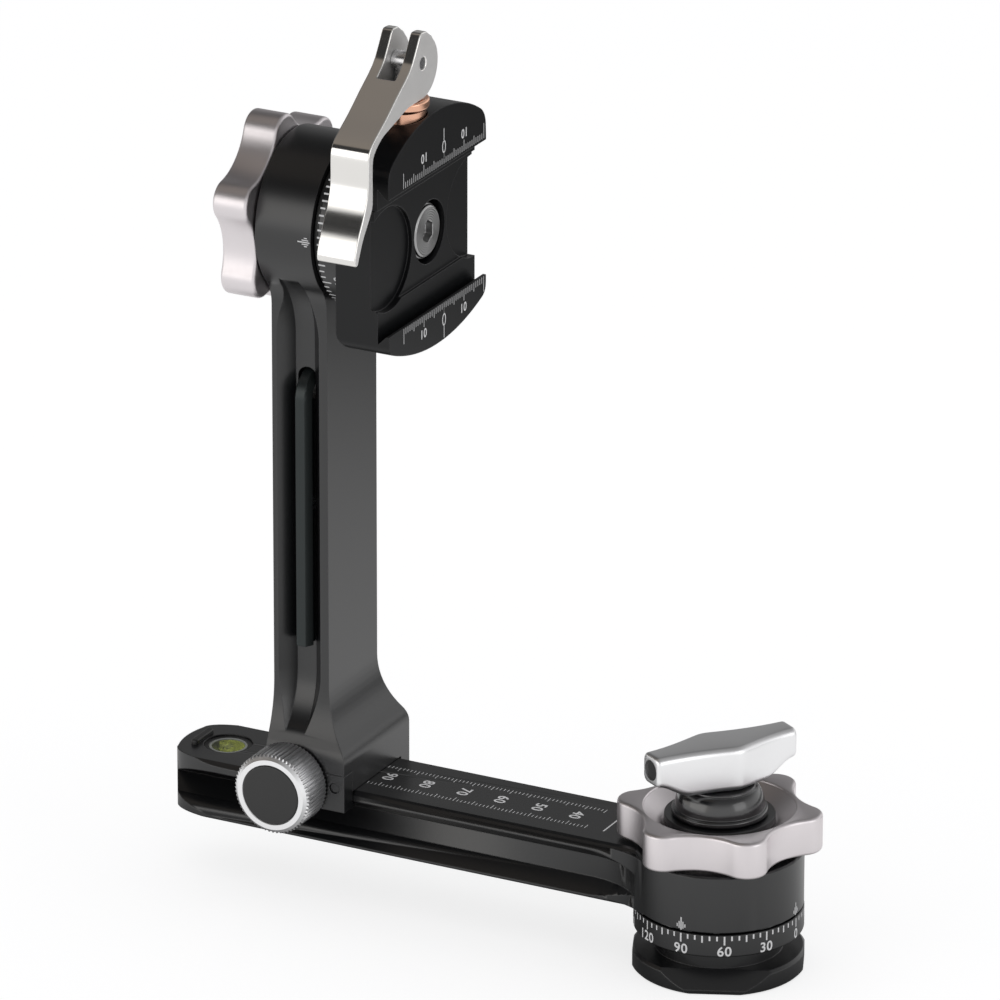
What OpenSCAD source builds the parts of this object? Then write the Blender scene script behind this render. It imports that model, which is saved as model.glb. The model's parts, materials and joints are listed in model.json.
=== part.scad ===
// Single-row panoramic tripod head: a pan base, a scaled lower arm, a sliding upright
// and a tilting lever clamp. Millimetres. The pan axis is Z, z = 0 is the base's underside,
// the lower arm runs towards -X and the camera clamp opens towards +X.

/* [Pan base] */
// Radius of the dovetail base disc
base_r = 20.6; // [20.3:0.1:22]
// Height of the base's top plane, where the degree ring sits
base_top_z = 9.65; // [9.3:0.05:10.5]
// Width of the base dovetail at its wide edge
base_dovetail_w = 38.6; // [38:0.1:38.8]
// Height of the sloping dovetail faces
base_dovetail_h = 3.9; // [3.4:0.1:4]
// Height of the straight land under the dovetail faces
base_land_h = 0.9; // [0.8:0.1:1]
// Bevel at the top of the base disc
base_rim_chamfer = 0.7; // [0.5:0.1:1]
// Radius of the neck above the base disc
base_neck_r = 15.2; // [15:0.1:15.4]
// Radius of the neck's lip under the degree ring
base_lip_r = 17.6; // [17:0.1:18]
// Height of the slope under that lip
base_lip_h = 1.4; // [1:0.1:2]
// Distance of the two shallow side flats from the axis
base_side_flat = 20.1; // [19.9:0.05:20.2]
// Azimuth of the dovetail, from -Y towards +X
base_turn = 23.5; // [0:0.5:45]
// Radius of the tripod thread, 3/8 inch
socket_r = 4.7625; // [3.175:0.0001:4.7625]
// Pitch radius of the base screws
base_screw_pitch_r = 9.6; // [9.2:0.1:10.4]
// Shank radius of the base screws
base_screw_r = 1.5; // [1.25:0.05:1.6]
// Head radius of the base screws
base_screw_head_r = 2.8; // [2.4:0.1:3]
// Number of base screws
base_screw_count = 4; // [3:1:4]

/* [Pan ring and bearings] */
// Radius of the graduated ring
ring_r = 20.1; // [19.8:0.1:21]
// Height of the graduated ring
ring_h = 5.65; // [5.4:0.05:6.2]
// Radius of the flange at the foot of the spindle
flange_r = 15.5; // [15:0.1:16]
// Thickness of that flange
flange_h = 3; // [2.5:0.1:3.5]
// Radius of the spindle
spindle_r = 9; // [8:0.1:9.5]
// Thickness of the lower thrust washer
thrust_h = 1.4; // [1:0.1:1.6]
// Thickness of the friction disc under the star knob
clutch_h = 2; // [1.5:0.1:2.4]
// Radius of the friction disc
clutch_r = 15.4; // [14:0.1:16]

/* [Lower arm] */
// Radius of the pan housing
housing_r = 20; // [19.7:0.1:20.8]
// Height of the arm's top face above the base's underside
arm_top_z = 29.9; // [29:0.1:31]
// Height of the rail
rail_h = 14.8; // [14.4:0.1:15]
// Width of the rail
rail_w = 24; // [23:0.5:25]
// Distance from the pan axis to the rail's far end
rail_reach = 142.8; // [141:0.2:148]
// Chamfer of the rail's long edges
rail_chamfer = 1; // [0.6:0.1:1.2]
// Height of the straight side of the rail's top lip
rail_lip_h = 1.5; // [1.2:0.1:1.8]
// Depth of the side grooves
rail_groove_depth = 4; // [3:0.1:4.5]
// Rise of each sloping groove flank
rail_flank_h = 3; // [2.6:0.1:3.4]
// Height of the straight bottom lip
rail_foot_h = 0.4; // [0.3:0.1:0.6]
// Radius of the fillets that blend the rail into the housing
arm_fillet_r = 18; // [14:0.5:20]
// Bulge of the rail's far end
rail_end_bulge = 1; // [0.8:0.1:1.6]
// Length of the far end's rounded corners along the rail
rail_corner_l = 15; // [12:0.5:17]
// Width of those corners across the rail
rail_corner_w = 6; // [5:0.1:7]

/* [Cutter run-outs] */
// Radius of the wheel that cuts the side grooves, at its tip
wheel_r = 20; // [18:0.5:22]
// Distance from the pan axis to the wheel's last place on the rail
wheel_x = 29.4; // [28.5:0.1:31]
// Height of the wheel's lowest place on the upright
wheel_low_z = 58; // [57:0.2:60]
// Distance from the tilt axis down to the wheel's highest place
wheel_drop = 27.6; // [26.8:0.2:29]

/* [Level and end stop] */
// Distance from the pan axis to the spirit level
level_x = 131.4; // [130:0.1:133]
// Depth of the level's face below the arm's top
level_sink = 0.4; // [0.2:0.1:0.6]
// Radius of the level's housing
level_r = 5.9; // [5:0.1:6.2]
// Radius of the level's lens
level_lens_r = 4.7; // [4.2:0.1:5.2]
// Depth of the level's pocket
level_depth = 5; // [4:0.1:6]
// Distance from the pan axis to the end stop
stop_x = 138.5; // [138:0.1:139]
// Length of the end stop across the rail
stop_l = 9; // [8:0.5:10]
// Width of the end stop
stop_w = 1.8; // [1.6:0.1:2]
// Height of the end stop above the rail
stop_proud = 1.2; // [1:0.1:1.4]
// Depth of the end stop's slot
stop_depth = 2.5; // [2:0.1:3]

/* [Pan knobs] */
// Radius over the star knob's lobes
star_r = 24.5; // [24:0.1:25]
// Radius at the star knob's valleys
star_valley_r = 19.2; // [19:0.1:19.6]
// Tip radius of a lobe
star_tip_r = 5; // [4.6:0.1:5.2]
// Thickness of a star knob
star_h = 9.2; // [8.5:0.1:10]
// Gap between the star knob and the arm
star_gap = 0.9; // [0.6:0.1:1.2]
// Edge chamfer of the star knobs
star_chamfer = 0.8; // [0.4:0.1:1]
// Radius of the bowl's mouth
bowl_r = 17.9; // [17:0.1:18.5]
// Radius of the bowl's floor
bowl_floor_r = 13.6; // [13:0.1:14]
// Depth of the bowl
bowl_depth = 3.7; // [3.4:0.1:4]
// Azimuth of one lobe, from +X towards +Y
star_turn = 14.7; // [0:0.1:60]
// Radius of the black collar in the bowl
collar_r = 13.1; // [12.4:0.1:13.3]
// Thickness of that collar
collar_h = 1.8; // [1.4:0.1:2]
// Radius of the centre hub's flange
hub_flange_r = 11.4; // [10.8:0.1:12]
// Thickness of that flange
hub_flange_h = 1.7; // [1.4:0.1:2]
// Radius of the centre hub's neck
hub_neck_r = 8.2; // [7.6:0.1:8.6]
// Radius of the centre lock's bolt
centre_bolt_r = 4; // [3.5:0.1:4.2]
// Height of the underside of the wing knob's ends
wing_z = 49.1; // [48.6:0.1:50]
// Thickness of those ends
wing_h = 7.4; // [7:0.1:8]
// Drop of the wing knob's belly below its ends
wing_belly = 3.6; // [3:0.1:4]
// Length of the wing knob
wing_l = 38.2; // [34:0.2:40]
// Width of the wing knob at its middle
wing_w = 13.6; // [12.6:0.2:14]
// Width of the wing knob's ends
wing_end_w = 7; // [6.6:0.1:7.6]
// Edge chamfer of the wing knob
wing_chamfer = 0.7; // [0.4:0.1:1]
// Azimuth of the wing knob, from +X towards +Y
wing_turn = 58; // [0:0.5:90]
// Radius of the inserts in the wing knob's ends
wing_insert_r = 2.6; // [2:0.1:2.8]
// Depth of those inserts
wing_insert_l = 5; // [3:0.5:6]

/* [Upright] */
// Distance from the pan axis to the upright's middle
upright_x = 104.7; // [103.5:0.1:106]
// Thickness of the upright along the rail
shaft_t = 14.7; // [14:0.1:15.2]
// Width of the upright across the rail
shaft_w = 24.4; // [24:0.1:25]
// Reach of the foot from the upright's middle towards the pan axis
foot_reach = 13.7; // [13.2:0.1:14.4]
// Thickness of the foot's walls beside the rail
foot_wall = 4.3; // [4:0.1:4.8]
// Drop of the foot's legs below the arm's top face
leg_drop = 4; // [3.6:0.1:4.4]
// Height over the arm's top face at which the foot's flare starts
flare_low = 7.6; // [7.2:0.1:8.4]
// Height of the foot's flare
flare_h = 18; // [17:0.5:19]
// Height of the tilt axis
tilt_z = 169.7; // [168:0.1:172]
// Radius of the tilt hub
hub_r = 20; // [19.5:0.1:20.5]
// Fillet between the hub and the upright
hub_fillet_r = 9; // [7:0.5:11]
// Width of the upright's side grooves at the surface
key_groove_w = 11.4; // [11:0.1:11.8]
// Shift of those grooves from the upright's middle, away from the clamp
key_groove_shift = 0.5; // [0.3:0.1:0.7]
// Width of their floor
key_groove_floor_w = 5; // [4.6:0.1:5.6]
// Depth of the side grooves
key_groove_depth = 4; // [3.8:0.1:4.3]

/* [Stored key] */
// Hex key size across its flats
key_af = 4; // [3:0.1:4.2]
// Height of the key's lower end
key_low_z = 64.6; // [64:0.2:70]
// Length of the key's long leg over its bend
key_long_l = 68.8; // [62:0.2:70]
// Length of the key's short leg over its bend
key_short_l = 25; // [20:0.5:26]
// Bend radius of the key at its middle line
key_bend_r = 5; // [4.5:0.5:6]
// Radius of the magnet that holds the key
magnet_r = 2.1; // [1.5:0.1:2.4]
// Thickness of the magnet
magnet_h = 2; // [1:0.1:2.5]
// Height of the key magnet above the key's lower end
magnet_up = 35.3; // [34:0.1:37]

/* [Slide clamp] */
// Distance from the pan axis to the slide knob's axis
slide_x = 105.2; // [104.6:0.1:105.8]
// Height of the slide knob's axis over the arm's top face
slide_axis_up = 1.9; // [1.9:0.05:2.2]
// Height of the sliding jaw's upper edge over the arm's top face
jaw_plate_up = 5.4; // [4.6:0.1:6]
// Radius of the slide screw
slide_screw_r = 1.5; // [1.25:0.05:1.6]
// Depth of the slide screw into the foot
slide_screw_l = 16; // [12:0.5:18]
// Radius of the knurled knob
slide_knob_r = 10; // [9:0.1:10.5]
// Depth of the knurls
knurl_depth = 0.45; // [0.3:0.05:0.6]
// Number of knurls
knurl_count = 60; // [40:2:72]
// Length of the knurled knob
slide_knob_l = 10; // [9:0.1:11]
// Bevel at the slide knob's front
slide_knob_bevel = 1; // [0.6:0.1:1.2]
// Radius of its black cap
slide_cap_r = 7.4; // [6.5:0.1:8]
// Thickness of the washer under the knurled knob
slide_washer_h = 0.6; // [0.5:0.1:1]
// Radius of that washer
slide_washer_r = 6.5; // [5.5:0.1:8]
// Radius of the sliding jaw's guide pins
guide_pin_r = 1.25; // [1:0.05:1.4]
// Distance between the sliding jaw's guide pins
guide_pin_gap = 15.6; // [14:0.2:16]

/* [Tilt joint] */
// Radius of the tilt bolt's shank
tilt_bolt_r = 4; // [3.5:0.1:4.5]
// Radius of the tilt bolt's head
tilt_head_r = 6.3; // [6:0.1:6.4]
// Height of the tilt bolt's head
tilt_head_h = 4; // [3.4:0.1:4.2]
// Hex socket of the tilt bolt across its flats
tilt_hex_af = 4.8; // [4:0.1:5.2]
// Radius of the counterbore round the tilt bolt's head
tilt_bore_r = 7.7; // [7.5:0.1:8]
// Radius of the stepped washer round the tilt bolt's head
tilt_washer_r = 6.9; // [6.7:0.1:7.1]
// Wall of the tilt bush
bush_wall = 1.5; // [1:0.1:2]
// Thickness of the friction washer between the hub and the ring
tilt_friction_h = 1.45; // [1.2:0.05:1.6]
// Radius of that washer
tilt_friction_r = 18.5; // [17:0.1:19]
// Radius of the tilt ring
tilt_ring_r = 20; // [19:0.1:20.2]
// Azimuth of one lobe of the tilt star knob, from +Y towards +Z
tilt_star_turn = 40.5; // [0:0.5:60]
// Gap between the tilt star knob and the hub
tilt_star_gap = 0.4; // [0.4:0.05:0.8]
// Radius of the cap in the tilt star knob
tilt_cap_r = 8; // [6.5:0.1:9]
// Thickness of that cap
tilt_cap_h = 1.6; // [1.2:0.1:2]

/* [Camera clamp] */
// Distance from the pan axis to the clamp's lips
lip_x = 72.9; // [71:0.1:74]
// Depth of the seats below the lips
seat_depth = 3; // [2.8:0.1:3.2]
// Depth of the floor below the seats
floor_depth = 0.8; // [0.6:0.1:1]
// Thickness of the clamp from its back to its lips
clamp_t = 14; // [13.6:0.1:15]
// Width of the dovetail plate that the clamp holds
plate_w = 38; // [37.6:0.1:38.4]
// Overhang of each lip over the dovetail
lip_reach = 2.2; // [2:0.05:2.4]
// Height of each seat
seat_h = 7.8; // [7:0.1:8]
// Length of the clamp's end on the lever's side
clamp_end_lever = 27.2; // [26:0.1:28.5]
// Length of the clamp's other end
clamp_end_far = 21.2; // [20.8:0.1:24]
// Height of the fixed jaw below the tilt axis
low_jaw_h = 26.1; // [25:0.1:28]
// Height of the moving jaw above the tilt axis
top_jaw_h = 31.5; // [31:0.1:31.8]
// Height of the fixed jaw's top face above the tilt axis
body_top = 13.5; // [13.2:0.1:13.9]
// Radius of the fixed jaw's outer curve
low_jaw_r = 60; // [56:1:66]
// Radius of the moving jaw's outer curve
top_jaw_r = 40.5; // [39:0.5:46]
// Corner radius of the fixed jaw
low_corner_r = 3; // [2:0.5:4]
// Corner radius of the moving jaw
top_corner_r = 5.5; // [4:0.5:6]
// Radius of the fixed jaw's back edge
back_edge_r = 3; // [2:0.5:3.5]
// Travel of the moving jaw
jaw_travel = 1.5; // [1:0.1:1.8]
// Radius of the round scoops in the floor
scoop_r = 12.5; // [11:0.5:12.5]
// Distance of the scoops' centres from the tilt axis
scoop_y = 21; // [20.6:0.1:22]
// Depth of the scoops at their inner edge
scoop_depth = 1.1; // [0.8:0.1:1.4]
// Radius of the moving jaw's guide pins
jaw_pin_r = 1.5; // [1.2:0.05:1.7]
// Distance from the clamp's back to its guide pins and springs
jaw_pin_x = 4.5; // [4.2:0.1:5]
// Distance of the guide pins from the drawbar
jaw_pin_gap = 12; // [11:0.5:13]
// Wire radius of the jaw springs
spring_wire_r = 0.4; // [0.3:0.05:0.45]
// Coil radius of the jaw springs
spring_r = 2.2; // [2:0.05:2.4]

/* [Clamp lever] */
// Distance from the lips back to the drawbar
drawbar_x = 6.1; // [6:0.05:6.4]
// Radius of the drawbar's threaded end
drawbar_stud_r = 1.5; // [1.2:0.05:1.6]
// Distance of the drawbar from the tilt axis, towards the lever
drawbar_y = 8.2; // [8:0.1:8.6]
// Radius of the drawbar
drawbar_r = 2.2; // [2:0.05:2.25]
// Height of the lever's pivot above the moving jaw's top
pivot_up = 12.7; // [12.5:0.05:13]
// Radius of the pressure washer
press_r = 6; // [5.8:0.1:6.2]
// Height of the pressure washer above the moving jaw's top
press_proud = 3.9; // [3.8:0.05:4.1]
// Depth of the pressure washer's seat in the moving jaw
press_seat = 2.3; // [2:0.1:2.5]
// Width of the lever
lever_w = 10; // [9:0.1:11]
// Drop of the lever's tip below its pivot
lever_drop = 40; // [36:1:42]
// Radius of the lever's pin
lever_pin_r = 1.5; // [1.2:0.05:1.7]
// Width of the slot between the lever's ears
ear_slot_w = 4.6; // [4.55:0.05:5]
// Radius of that slot about the pivot
ear_slot_r = 9.1; // [8.8:0.1:9.4]

/* [Fits] */
// Radial clearance of running fits
fit = 0.05; // [0.03:0.01:0.08]
// Gap between flat faces that slide on each other
slide_gap = 0.1; // [0.08:0.01:0.15]
// Gap between the rail's sides and what straddles it
side_gap = 0.2; // [0.15:0.01:0.3]
// Gap between turning parts that face each other
turn_gap = 0.3; // [0.25:0.05:0.4]

/* [Hidden] */
$fn = 64;

// One overrun serves every cut
over = 1;
// Smallest edge break
edge = 0.4;
// Points on a fine arc and on a coarse one
fine = 24;
coarse = 10;
// Number of lobes on the star knobs
lobes = 6;
// Shares of the wing knob's shape: skew, tip, flat of the belly; and how hollow its sides are
wing_skew_share = 0.09;
wing_tip_share = 0.006;
wing_flat_share = 0.5;
wing_hollow = 1.8;

// Heights in the pan stack
rim_top_z = base_land_h + base_dovetail_h;
level_face_z = arm_top_z - level_sink;
ring_top_z = base_top_z + ring_h;
flange_top_z = base_top_z + flange_h;
housing_floor_z = flange_top_z + thrust_h + slide_gap;
housing_low_z = ring_top_z + turn_gap;
housing_bore_top_z = arm_top_z - clutch_h - edge;
star_z = arm_top_z + star_gap;
star_top_z = star_z + star_h;
bowl_z = star_top_z - bowl_depth;
collar_z = bowl_z + slide_gap;
hub_z = collar_z + collar_h + slide_gap;
wing_low_z = wing_z - wing_belly;
hub_top_z = wing_low_z;
dome_h = hub_top_z - hub_z - hub_flange_h - edge;
bolt_low_z = flange_top_z + edge;
star_boss_r = clutch_r;
star_boss_z = housing_bore_top_z + clutch_h + slide_gap;
spindle_top_z = collar_z;
screw_head_h = base_screw_head_r - base_screw_r;

// Rail section, half widths and heights
rail_hw = rail_w / 2;
rail_low_z = arm_top_z - rail_h;
lip_low_z = arm_top_z - rail_chamfer - rail_lip_h;
foot_top_z = rail_low_z + edge + rail_foot_h;
fillet_y = rail_hw + arm_fillet_r;
fillet_x = sqrt(pow(housing_r + arm_fillet_r, 2) - pow(fillet_y, 2));

// Wheel cutter, whose tip cuts the groove's floor
wheel_y = rail_hw - rail_groove_depth + wheel_r;
wheel_high_z = tilt_z - wheel_drop;

// Upright
upright_cx = -upright_x;
leg_low_z = arm_top_z - leg_drop;
channel_z = arm_top_z + slide_gap;
channel_hw = rail_hw + side_gap;
flare_z = arm_top_z + flare_low;
foot_side_y = channel_hw + foot_wall;
hub_back_x = upright_cx - shaft_t / 2;
hub_front_x = upright_cx + shaft_t / 2;
foot_front_x = upright_cx + foot_reach;
shaft_y = shaft_w / 2;
key_floor_y = shaft_y - key_groove_depth;
key_wheel_y = key_floor_y + wheel_r;
hub_blend_z = tilt_z - sqrt(pow(hub_r + hub_fillet_r, 2) - pow(shaft_y + hub_fillet_r, 2));
key_r = key_af / sqrt(3);
key_y = -(key_floor_y + key_af / 2 + slide_gap);
key_hole_r = key_r + edge / 2;
key_top_z = key_low_z + key_long_l - key_af / 2;
magnet_z = key_low_z + magnet_up;

// Slide clamp, which lies on the -Y side of the foot
slide_z = arm_top_z + slide_axis_up;
slide_cx = -slide_x;
plate_top_z = arm_top_z + jaw_plate_up;
knob_back_y = foot_side_y + slide_washer_h;
knob_front_y = knob_back_y + slide_knob_l;

// Tilt joint along X
friction_x = hub_front_x + slide_gap;
tilt_ring_x = friction_x + tilt_friction_h + slide_gap;
clamp_back_x = -lip_x - clamp_t;
seat_x = -lip_x - seat_depth;
floor_x = seat_x - floor_depth;
bush_r = tilt_bolt_r + fit + bush_wall;
tilt_star_x = hub_back_x - tilt_star_gap;
head_front_x = floor_x - edge;
head_back_x = head_front_x - tilt_head_h;
tilt_cap_x = tilt_star_x - star_h;

// Camera clamp, in heights from the tilt axis
half_plate = plate_w / 2;
half_lip = half_plate - lip_reach;
seat_in = half_plate - seat_h;
jaw_low = body_top + side_gap;
low_z = tilt_z - low_jaw_h;
top_z = tilt_z + top_jaw_h;
clamp_mid_y = (clamp_end_far - clamp_end_lever) / 2;
clamp_half_l = (clamp_end_far + clamp_end_lever) / 2;
pin_cx = clamp_back_x + jaw_pin_x;
bar_cx = -lip_x - drawbar_x;
pin_low = body_top - seat_h;
pin_up = body_top + seat_h;

// Lever
pivot_z = top_z + pivot_up;
press_top_z = top_z + press_proud;
cam_r = pivot_z - press_top_z - slide_gap;
cam_fall = jaw_travel + edge / 2;
lever_swing_deg = 110;

echo(tilt_axis_x_span = [tilt_cap_x, head_front_x], pivot = [-drawbar_y, pivot_z], cam_r = cam_r);

function arc(cx, cy, r, a0, a1, n) =
    [for (i = [0:n]) [cx + r * cos(a0 + (a1 - a0) * i / n), cy + r * sin(a0 + (a1 - a0) * i / n)]];

function mirrored(points) = [for (i = [len(points) - 1:-1:0]) [-points[i][0], points[i][1]]];
function mirrored_y(points) = [for (i = [len(points) - 1:-1:0]) [points[i][0], -points[i][1]]];

// A cylinder or cone along X, Y or Z from one place to another
module rod_z(r, z0, z1) translate([0, 0, z0]) cylinder(r = r, h = z1 - z0);
module rod_x(r, x0, x1) translate([x0, 0, 0]) rotate([0, 90, 0]) cylinder(r = r, h = x1 - x0);
module rod_y(r, y0, y1) translate([0, y0, 0]) rotate([-90, 0, 0]) cylinder(r = r, h = y1 - y0);

// A YZ outline pushed along X, and an XZ outline pushed along Y
module push_x(x0, x1) translate([x0, 0, 0]) rotate([90, 0, 90]) linear_extrude(x1 - x0) children();
module push_y(y0, y1) translate([0, y1, 0]) rotate([90, 0, 0]) linear_extrude(y1 - y0) children();

// Outline of a star knob: round lobe tips joined by tangent valleys
module star_outline() {
    step = 360 / lobes;
    tip_c = star_r - star_tip_r;
    root = 2 * cos(step / 2);
    valley_arc = (pow(star_tip_r, 2) - pow(tip_c, 2) - pow(star_valley_r, 2) + root * tip_c * star_valley_r)
        / (2 * star_valley_r - root * tip_c - 2 * star_tip_r);
    valley_c = star_valley_r + valley_arc;
    dx = valley_c * cos(step / 2) - tip_c;
    dy = valley_c * sin(step / 2);
    turn = atan2(dy, dx);
    polygon([for (k = [0:lobes - 1]) each concat(
        [for (p = arc(tip_c, 0, star_tip_r, -turn, turn, coarse))
            [p[0] * cos(k * step) - p[1] * sin(k * step), p[0] * sin(k * step) + p[1] * cos(k * step)]],
        [for (p = arc(valley_c * cos(step / 2), dy, valley_arc, turn - 180, step - turn - 180, coarse))
            [p[0] * cos(k * step) - p[1] * sin(k * step), p[0] * sin(k * step) + p[1] * cos(k * step)]]
    )]);
}

// A star knob's body: the outline with its lobe tips turned off at both faces
module star_body() {
    intersection() {
        linear_extrude(star_h) star_outline();
        rotate_extrude($fn = 96) polygon([[0, 0], [star_r - star_chamfer, 0], [star_r, star_chamfer],
            [star_r, star_h - star_chamfer], [star_r - star_chamfer, star_h], [0, star_h]]);
    }
}

module base_screw_places()
    for (k = [0:base_screw_count - 1])
        rotate([0, 0, base_turn + 45 + k * 360 / base_screw_count]) translate([base_screw_pitch_r, 0, 0]) children();

module dovetail_base() color([0.08, 0.08, 0.09]) difference() {
    rotate_extrude($fn = 128) polygon([
        [0, 0], [base_r - edge, 0], [base_r, edge], [base_r, rim_top_z - base_rim_chamfer],
        [base_r - base_rim_chamfer, rim_top_z], [base_neck_r, rim_top_z],
        [base_neck_r, base_top_z - edge - base_lip_h], [base_lip_r, base_top_z - edge], [base_lip_r, base_top_z],
        [0, base_top_z]]);
    for (side = [0, 180]) rotate([0, 0, base_turn - 90 + side]) push_y(-base_r, base_r) polygon([
        [base_dovetail_w / 2, -over], [base_dovetail_w / 2, base_land_h],
        [base_dovetail_w / 2 - base_dovetail_h, rim_top_z], [base_dovetail_w / 2 - base_dovetail_h, rim_top_z + edge],
        [base_r + over, rim_top_z + edge], [base_r + over, -over]]);
    for (side = [90, 270]) rotate([0, 0, base_turn - 90 + side]) push_y(-base_r, base_r) polygon([
        [base_side_flat, -over], [base_side_flat, rim_top_z + over],
        [base_r + over, rim_top_z + over], [base_r + over, -over]]);
    rod_z(socket_r, -over, base_top_z + over);
    base_screw_places() {
        rod_z(base_screw_r, -over, base_top_z + over);
        rotate_extrude() polygon([[0, -over], [base_screw_head_r + over, -over], [base_screw_head_r, 0],
            [base_screw_r, screw_head_h], [0, screw_head_h]]);
    }
}

module base_screws() color([0.2, 0.2, 0.22]) base_screw_places() difference() {
    union() {
        rotate_extrude() polygon([[0, edge / 2], [base_screw_head_r - edge / 2, edge / 2],
            [base_screw_r, screw_head_h], [0, screw_head_h]]);
        rod_z(base_screw_r, screw_head_h - edge, flange_top_z - edge);
    }
    rotate([0, 0, 30]) translate([0, 0, -over]) cylinder(r = base_screw_r, h = over + screw_head_h, $fn = 6);
}

module pan_spindle() color([0.6, 0.6, 0.62]) difference() {
    union() {
        rod_z(flange_r, base_top_z, flange_top_z);
        rod_z(spindle_r, flange_top_z, spindle_top_z);
    }
    rod_z(centre_bolt_r + fit, bolt_low_z, spindle_top_z + over);
    base_screw_places() rod_z(base_screw_r, base_top_z - over, flange_top_z - edge);
}

module pan_degree_ring() color([0.09, 0.09, 0.1]) difference() {
    rotate_extrude($fn = 128) polygon([[flange_r + fit, base_top_z], [ring_r - edge, base_top_z],
        [ring_r, base_top_z + edge], [ring_r, ring_top_z - edge / 2], [ring_r - edge / 2, ring_top_z],
        [flange_r + fit, ring_top_z]]);
}

module thrust_washer() color([0.75, 0.6, 0.35]) difference() {
    rod_z(flange_r - edge, flange_top_z, flange_top_z + thrust_h);
    rod_z(spindle_r + fit, flange_top_z - over, flange_top_z + thrust_h + over);
}

// Section of the rail seen along X
module rail_section() polygon(concat(
    [[rail_hw - rail_chamfer, arm_top_z], [rail_hw, arm_top_z - rail_chamfer], [rail_hw, rail_low_z + edge],
        [rail_hw - edge, rail_low_z]],
    [[edge - rail_hw, rail_low_z], [-rail_hw, rail_low_z + edge], [-rail_hw, arm_top_z - rail_chamfer],
        [rail_chamfer - rail_hw, arm_top_z]]));

// Profile of the wheel that cuts the side grooves, from its tip to past its middle
function wheel_profile(low, floor_low, floor_high, high, depth) = [
    [0, low], [wheel_r - depth, low], [wheel_r, floor_low], [wheel_r, floor_high], [wheel_r - depth, high],
    [0, high]];

// Plan of the rail with its rounded far end
module rail_plan() {
    end_hw = rail_hw - rail_corner_w;
    bulge_r = (pow(end_hw, 2) + pow(rail_end_bulge, 2)) / (2 * rail_end_bulge);
    half_turn = asin(end_hw / bulge_r);
    corner_x = -rail_reach + rail_end_bulge + rail_corner_l;
    side_end = [for (p = arc(0, 0, 1, 90, 170, coarse))
        [corner_x + rail_corner_l * p[0], end_hw + rail_corner_w * p[1]]];
    polygon(concat(mirrored_y(side_end), [[0, -rail_hw], [0, rail_hw]], side_end,
        arc(-rail_reach + bulge_r, 0, bulge_r, 180 - half_turn, 180 + half_turn, coarse)));
}

// Plan of the blend between the rail and the round housing
module arm_blend_plan() {
    touch = atan2(fillet_y, fillet_x);
    polygon(concat([[0, 0], [0, rail_hw]],
        [[-housing_r * cos(touch), housing_r * sin(touch)]],
        arc(-fillet_x, fillet_y, arm_fillet_r, -touch, -90, coarse),
        [for (p = arc(-fillet_x, -fillet_y, arm_fillet_r, 90, touch, coarse)) p],
        [[-housing_r * cos(touch), -housing_r * sin(touch)], [0, -rail_hw]]));
}

rail_wheel = wheel_profile(foot_top_z, foot_top_z + rail_flank_h, lip_low_z - rail_flank_h, lip_low_z,
    rail_groove_depth);

module lower_arm() color([0.08, 0.08, 0.09]) difference() {
    union() {
        intersection() {
            push_x(-rail_reach - over, 0) rail_section();
            difference() {
                translate([0, 0, rail_low_z - over]) linear_extrude(rail_h + over + over) rail_plan();
                rod_z(ring_r + edge, rail_low_z - over - over, housing_low_z);
            }
        }
        translate([0, 0, housing_low_z]) linear_extrude(arm_top_z - rail_chamfer - housing_low_z) arm_blend_plan();
        rotate_extrude($fn = 128) polygon([[0, housing_low_z], [housing_r - edge, housing_low_z],
            [housing_r, housing_low_z + edge], [housing_r, arm_top_z - edge], [housing_r - edge, arm_top_z],
            [0, arm_top_z]]);
        rod_z(flange_r - edge, housing_floor_z, housing_low_z + over);
    }
    for (side = [0, 1]) mirror([0, side, 0]) {
        push_x(-rail_reach - over, -wheel_x) polygon([for (p = rail_wheel) [wheel_y - p[0], p[1]]]);
        translate([-wheel_x, wheel_y, 0]) rotate_extrude($fn = 128) polygon(rail_wheel);
    }
    rod_z(spindle_r + fit, housing_floor_z - over, arm_top_z + over);
    rod_z(clutch_r + fit, housing_bore_top_z, arm_top_z + over);
    translate([-level_x, 0, 0]) rod_z(level_r, arm_top_z - level_depth, arm_top_z + over);
    stop_bar(arm_top_z - stop_depth, arm_top_z + over);
}

// Bar with round ends across the rail, between two heights
module stop_bar(low, high) translate([-stop_x, 0, 0]) {
    translate([-stop_w / 2, stop_w / 2 - stop_l / 2, low]) cube([stop_w, stop_l - stop_w, high - low]);
    for (side = [-1, 1]) translate([0, side * (stop_l - stop_w) / 2, 0]) rod_z(stop_w / 2, low, high);
}

module friction_disc() color([0.85, 0.83, 0.78]) difference() {
    rod_z(clutch_r - fit, housing_bore_top_z, housing_bore_top_z + clutch_h);
    rod_z(spindle_r + fit + fit, housing_bore_top_z - over, arm_top_z + over);
}

module pan_star_knob() color([0.8, 0.78, 0.79]) rotate([0, 0, star_turn]) difference() {
    union() {
        translate([0, 0, star_z]) star_body();
        rod_z(star_boss_r - turn_gap, star_boss_z, star_z + over);
    }
    rotate_extrude($fn = 96) polygon([[0, bowl_z], [bowl_floor_r, bowl_z],
        [bowl_r, star_top_z], [bowl_r, star_top_z + over], [0, star_top_z + over]]);
    rod_z(spindle_r + fit, star_boss_z - over, bowl_z + over);
}

module spindle_collar() color([0.04, 0.04, 0.05]) difference() {
    rod_z(collar_r, collar_z, collar_z + collar_h);
    rod_z(centre_bolt_r + fit, collar_z - over, collar_z + collar_h + over);
}

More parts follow.
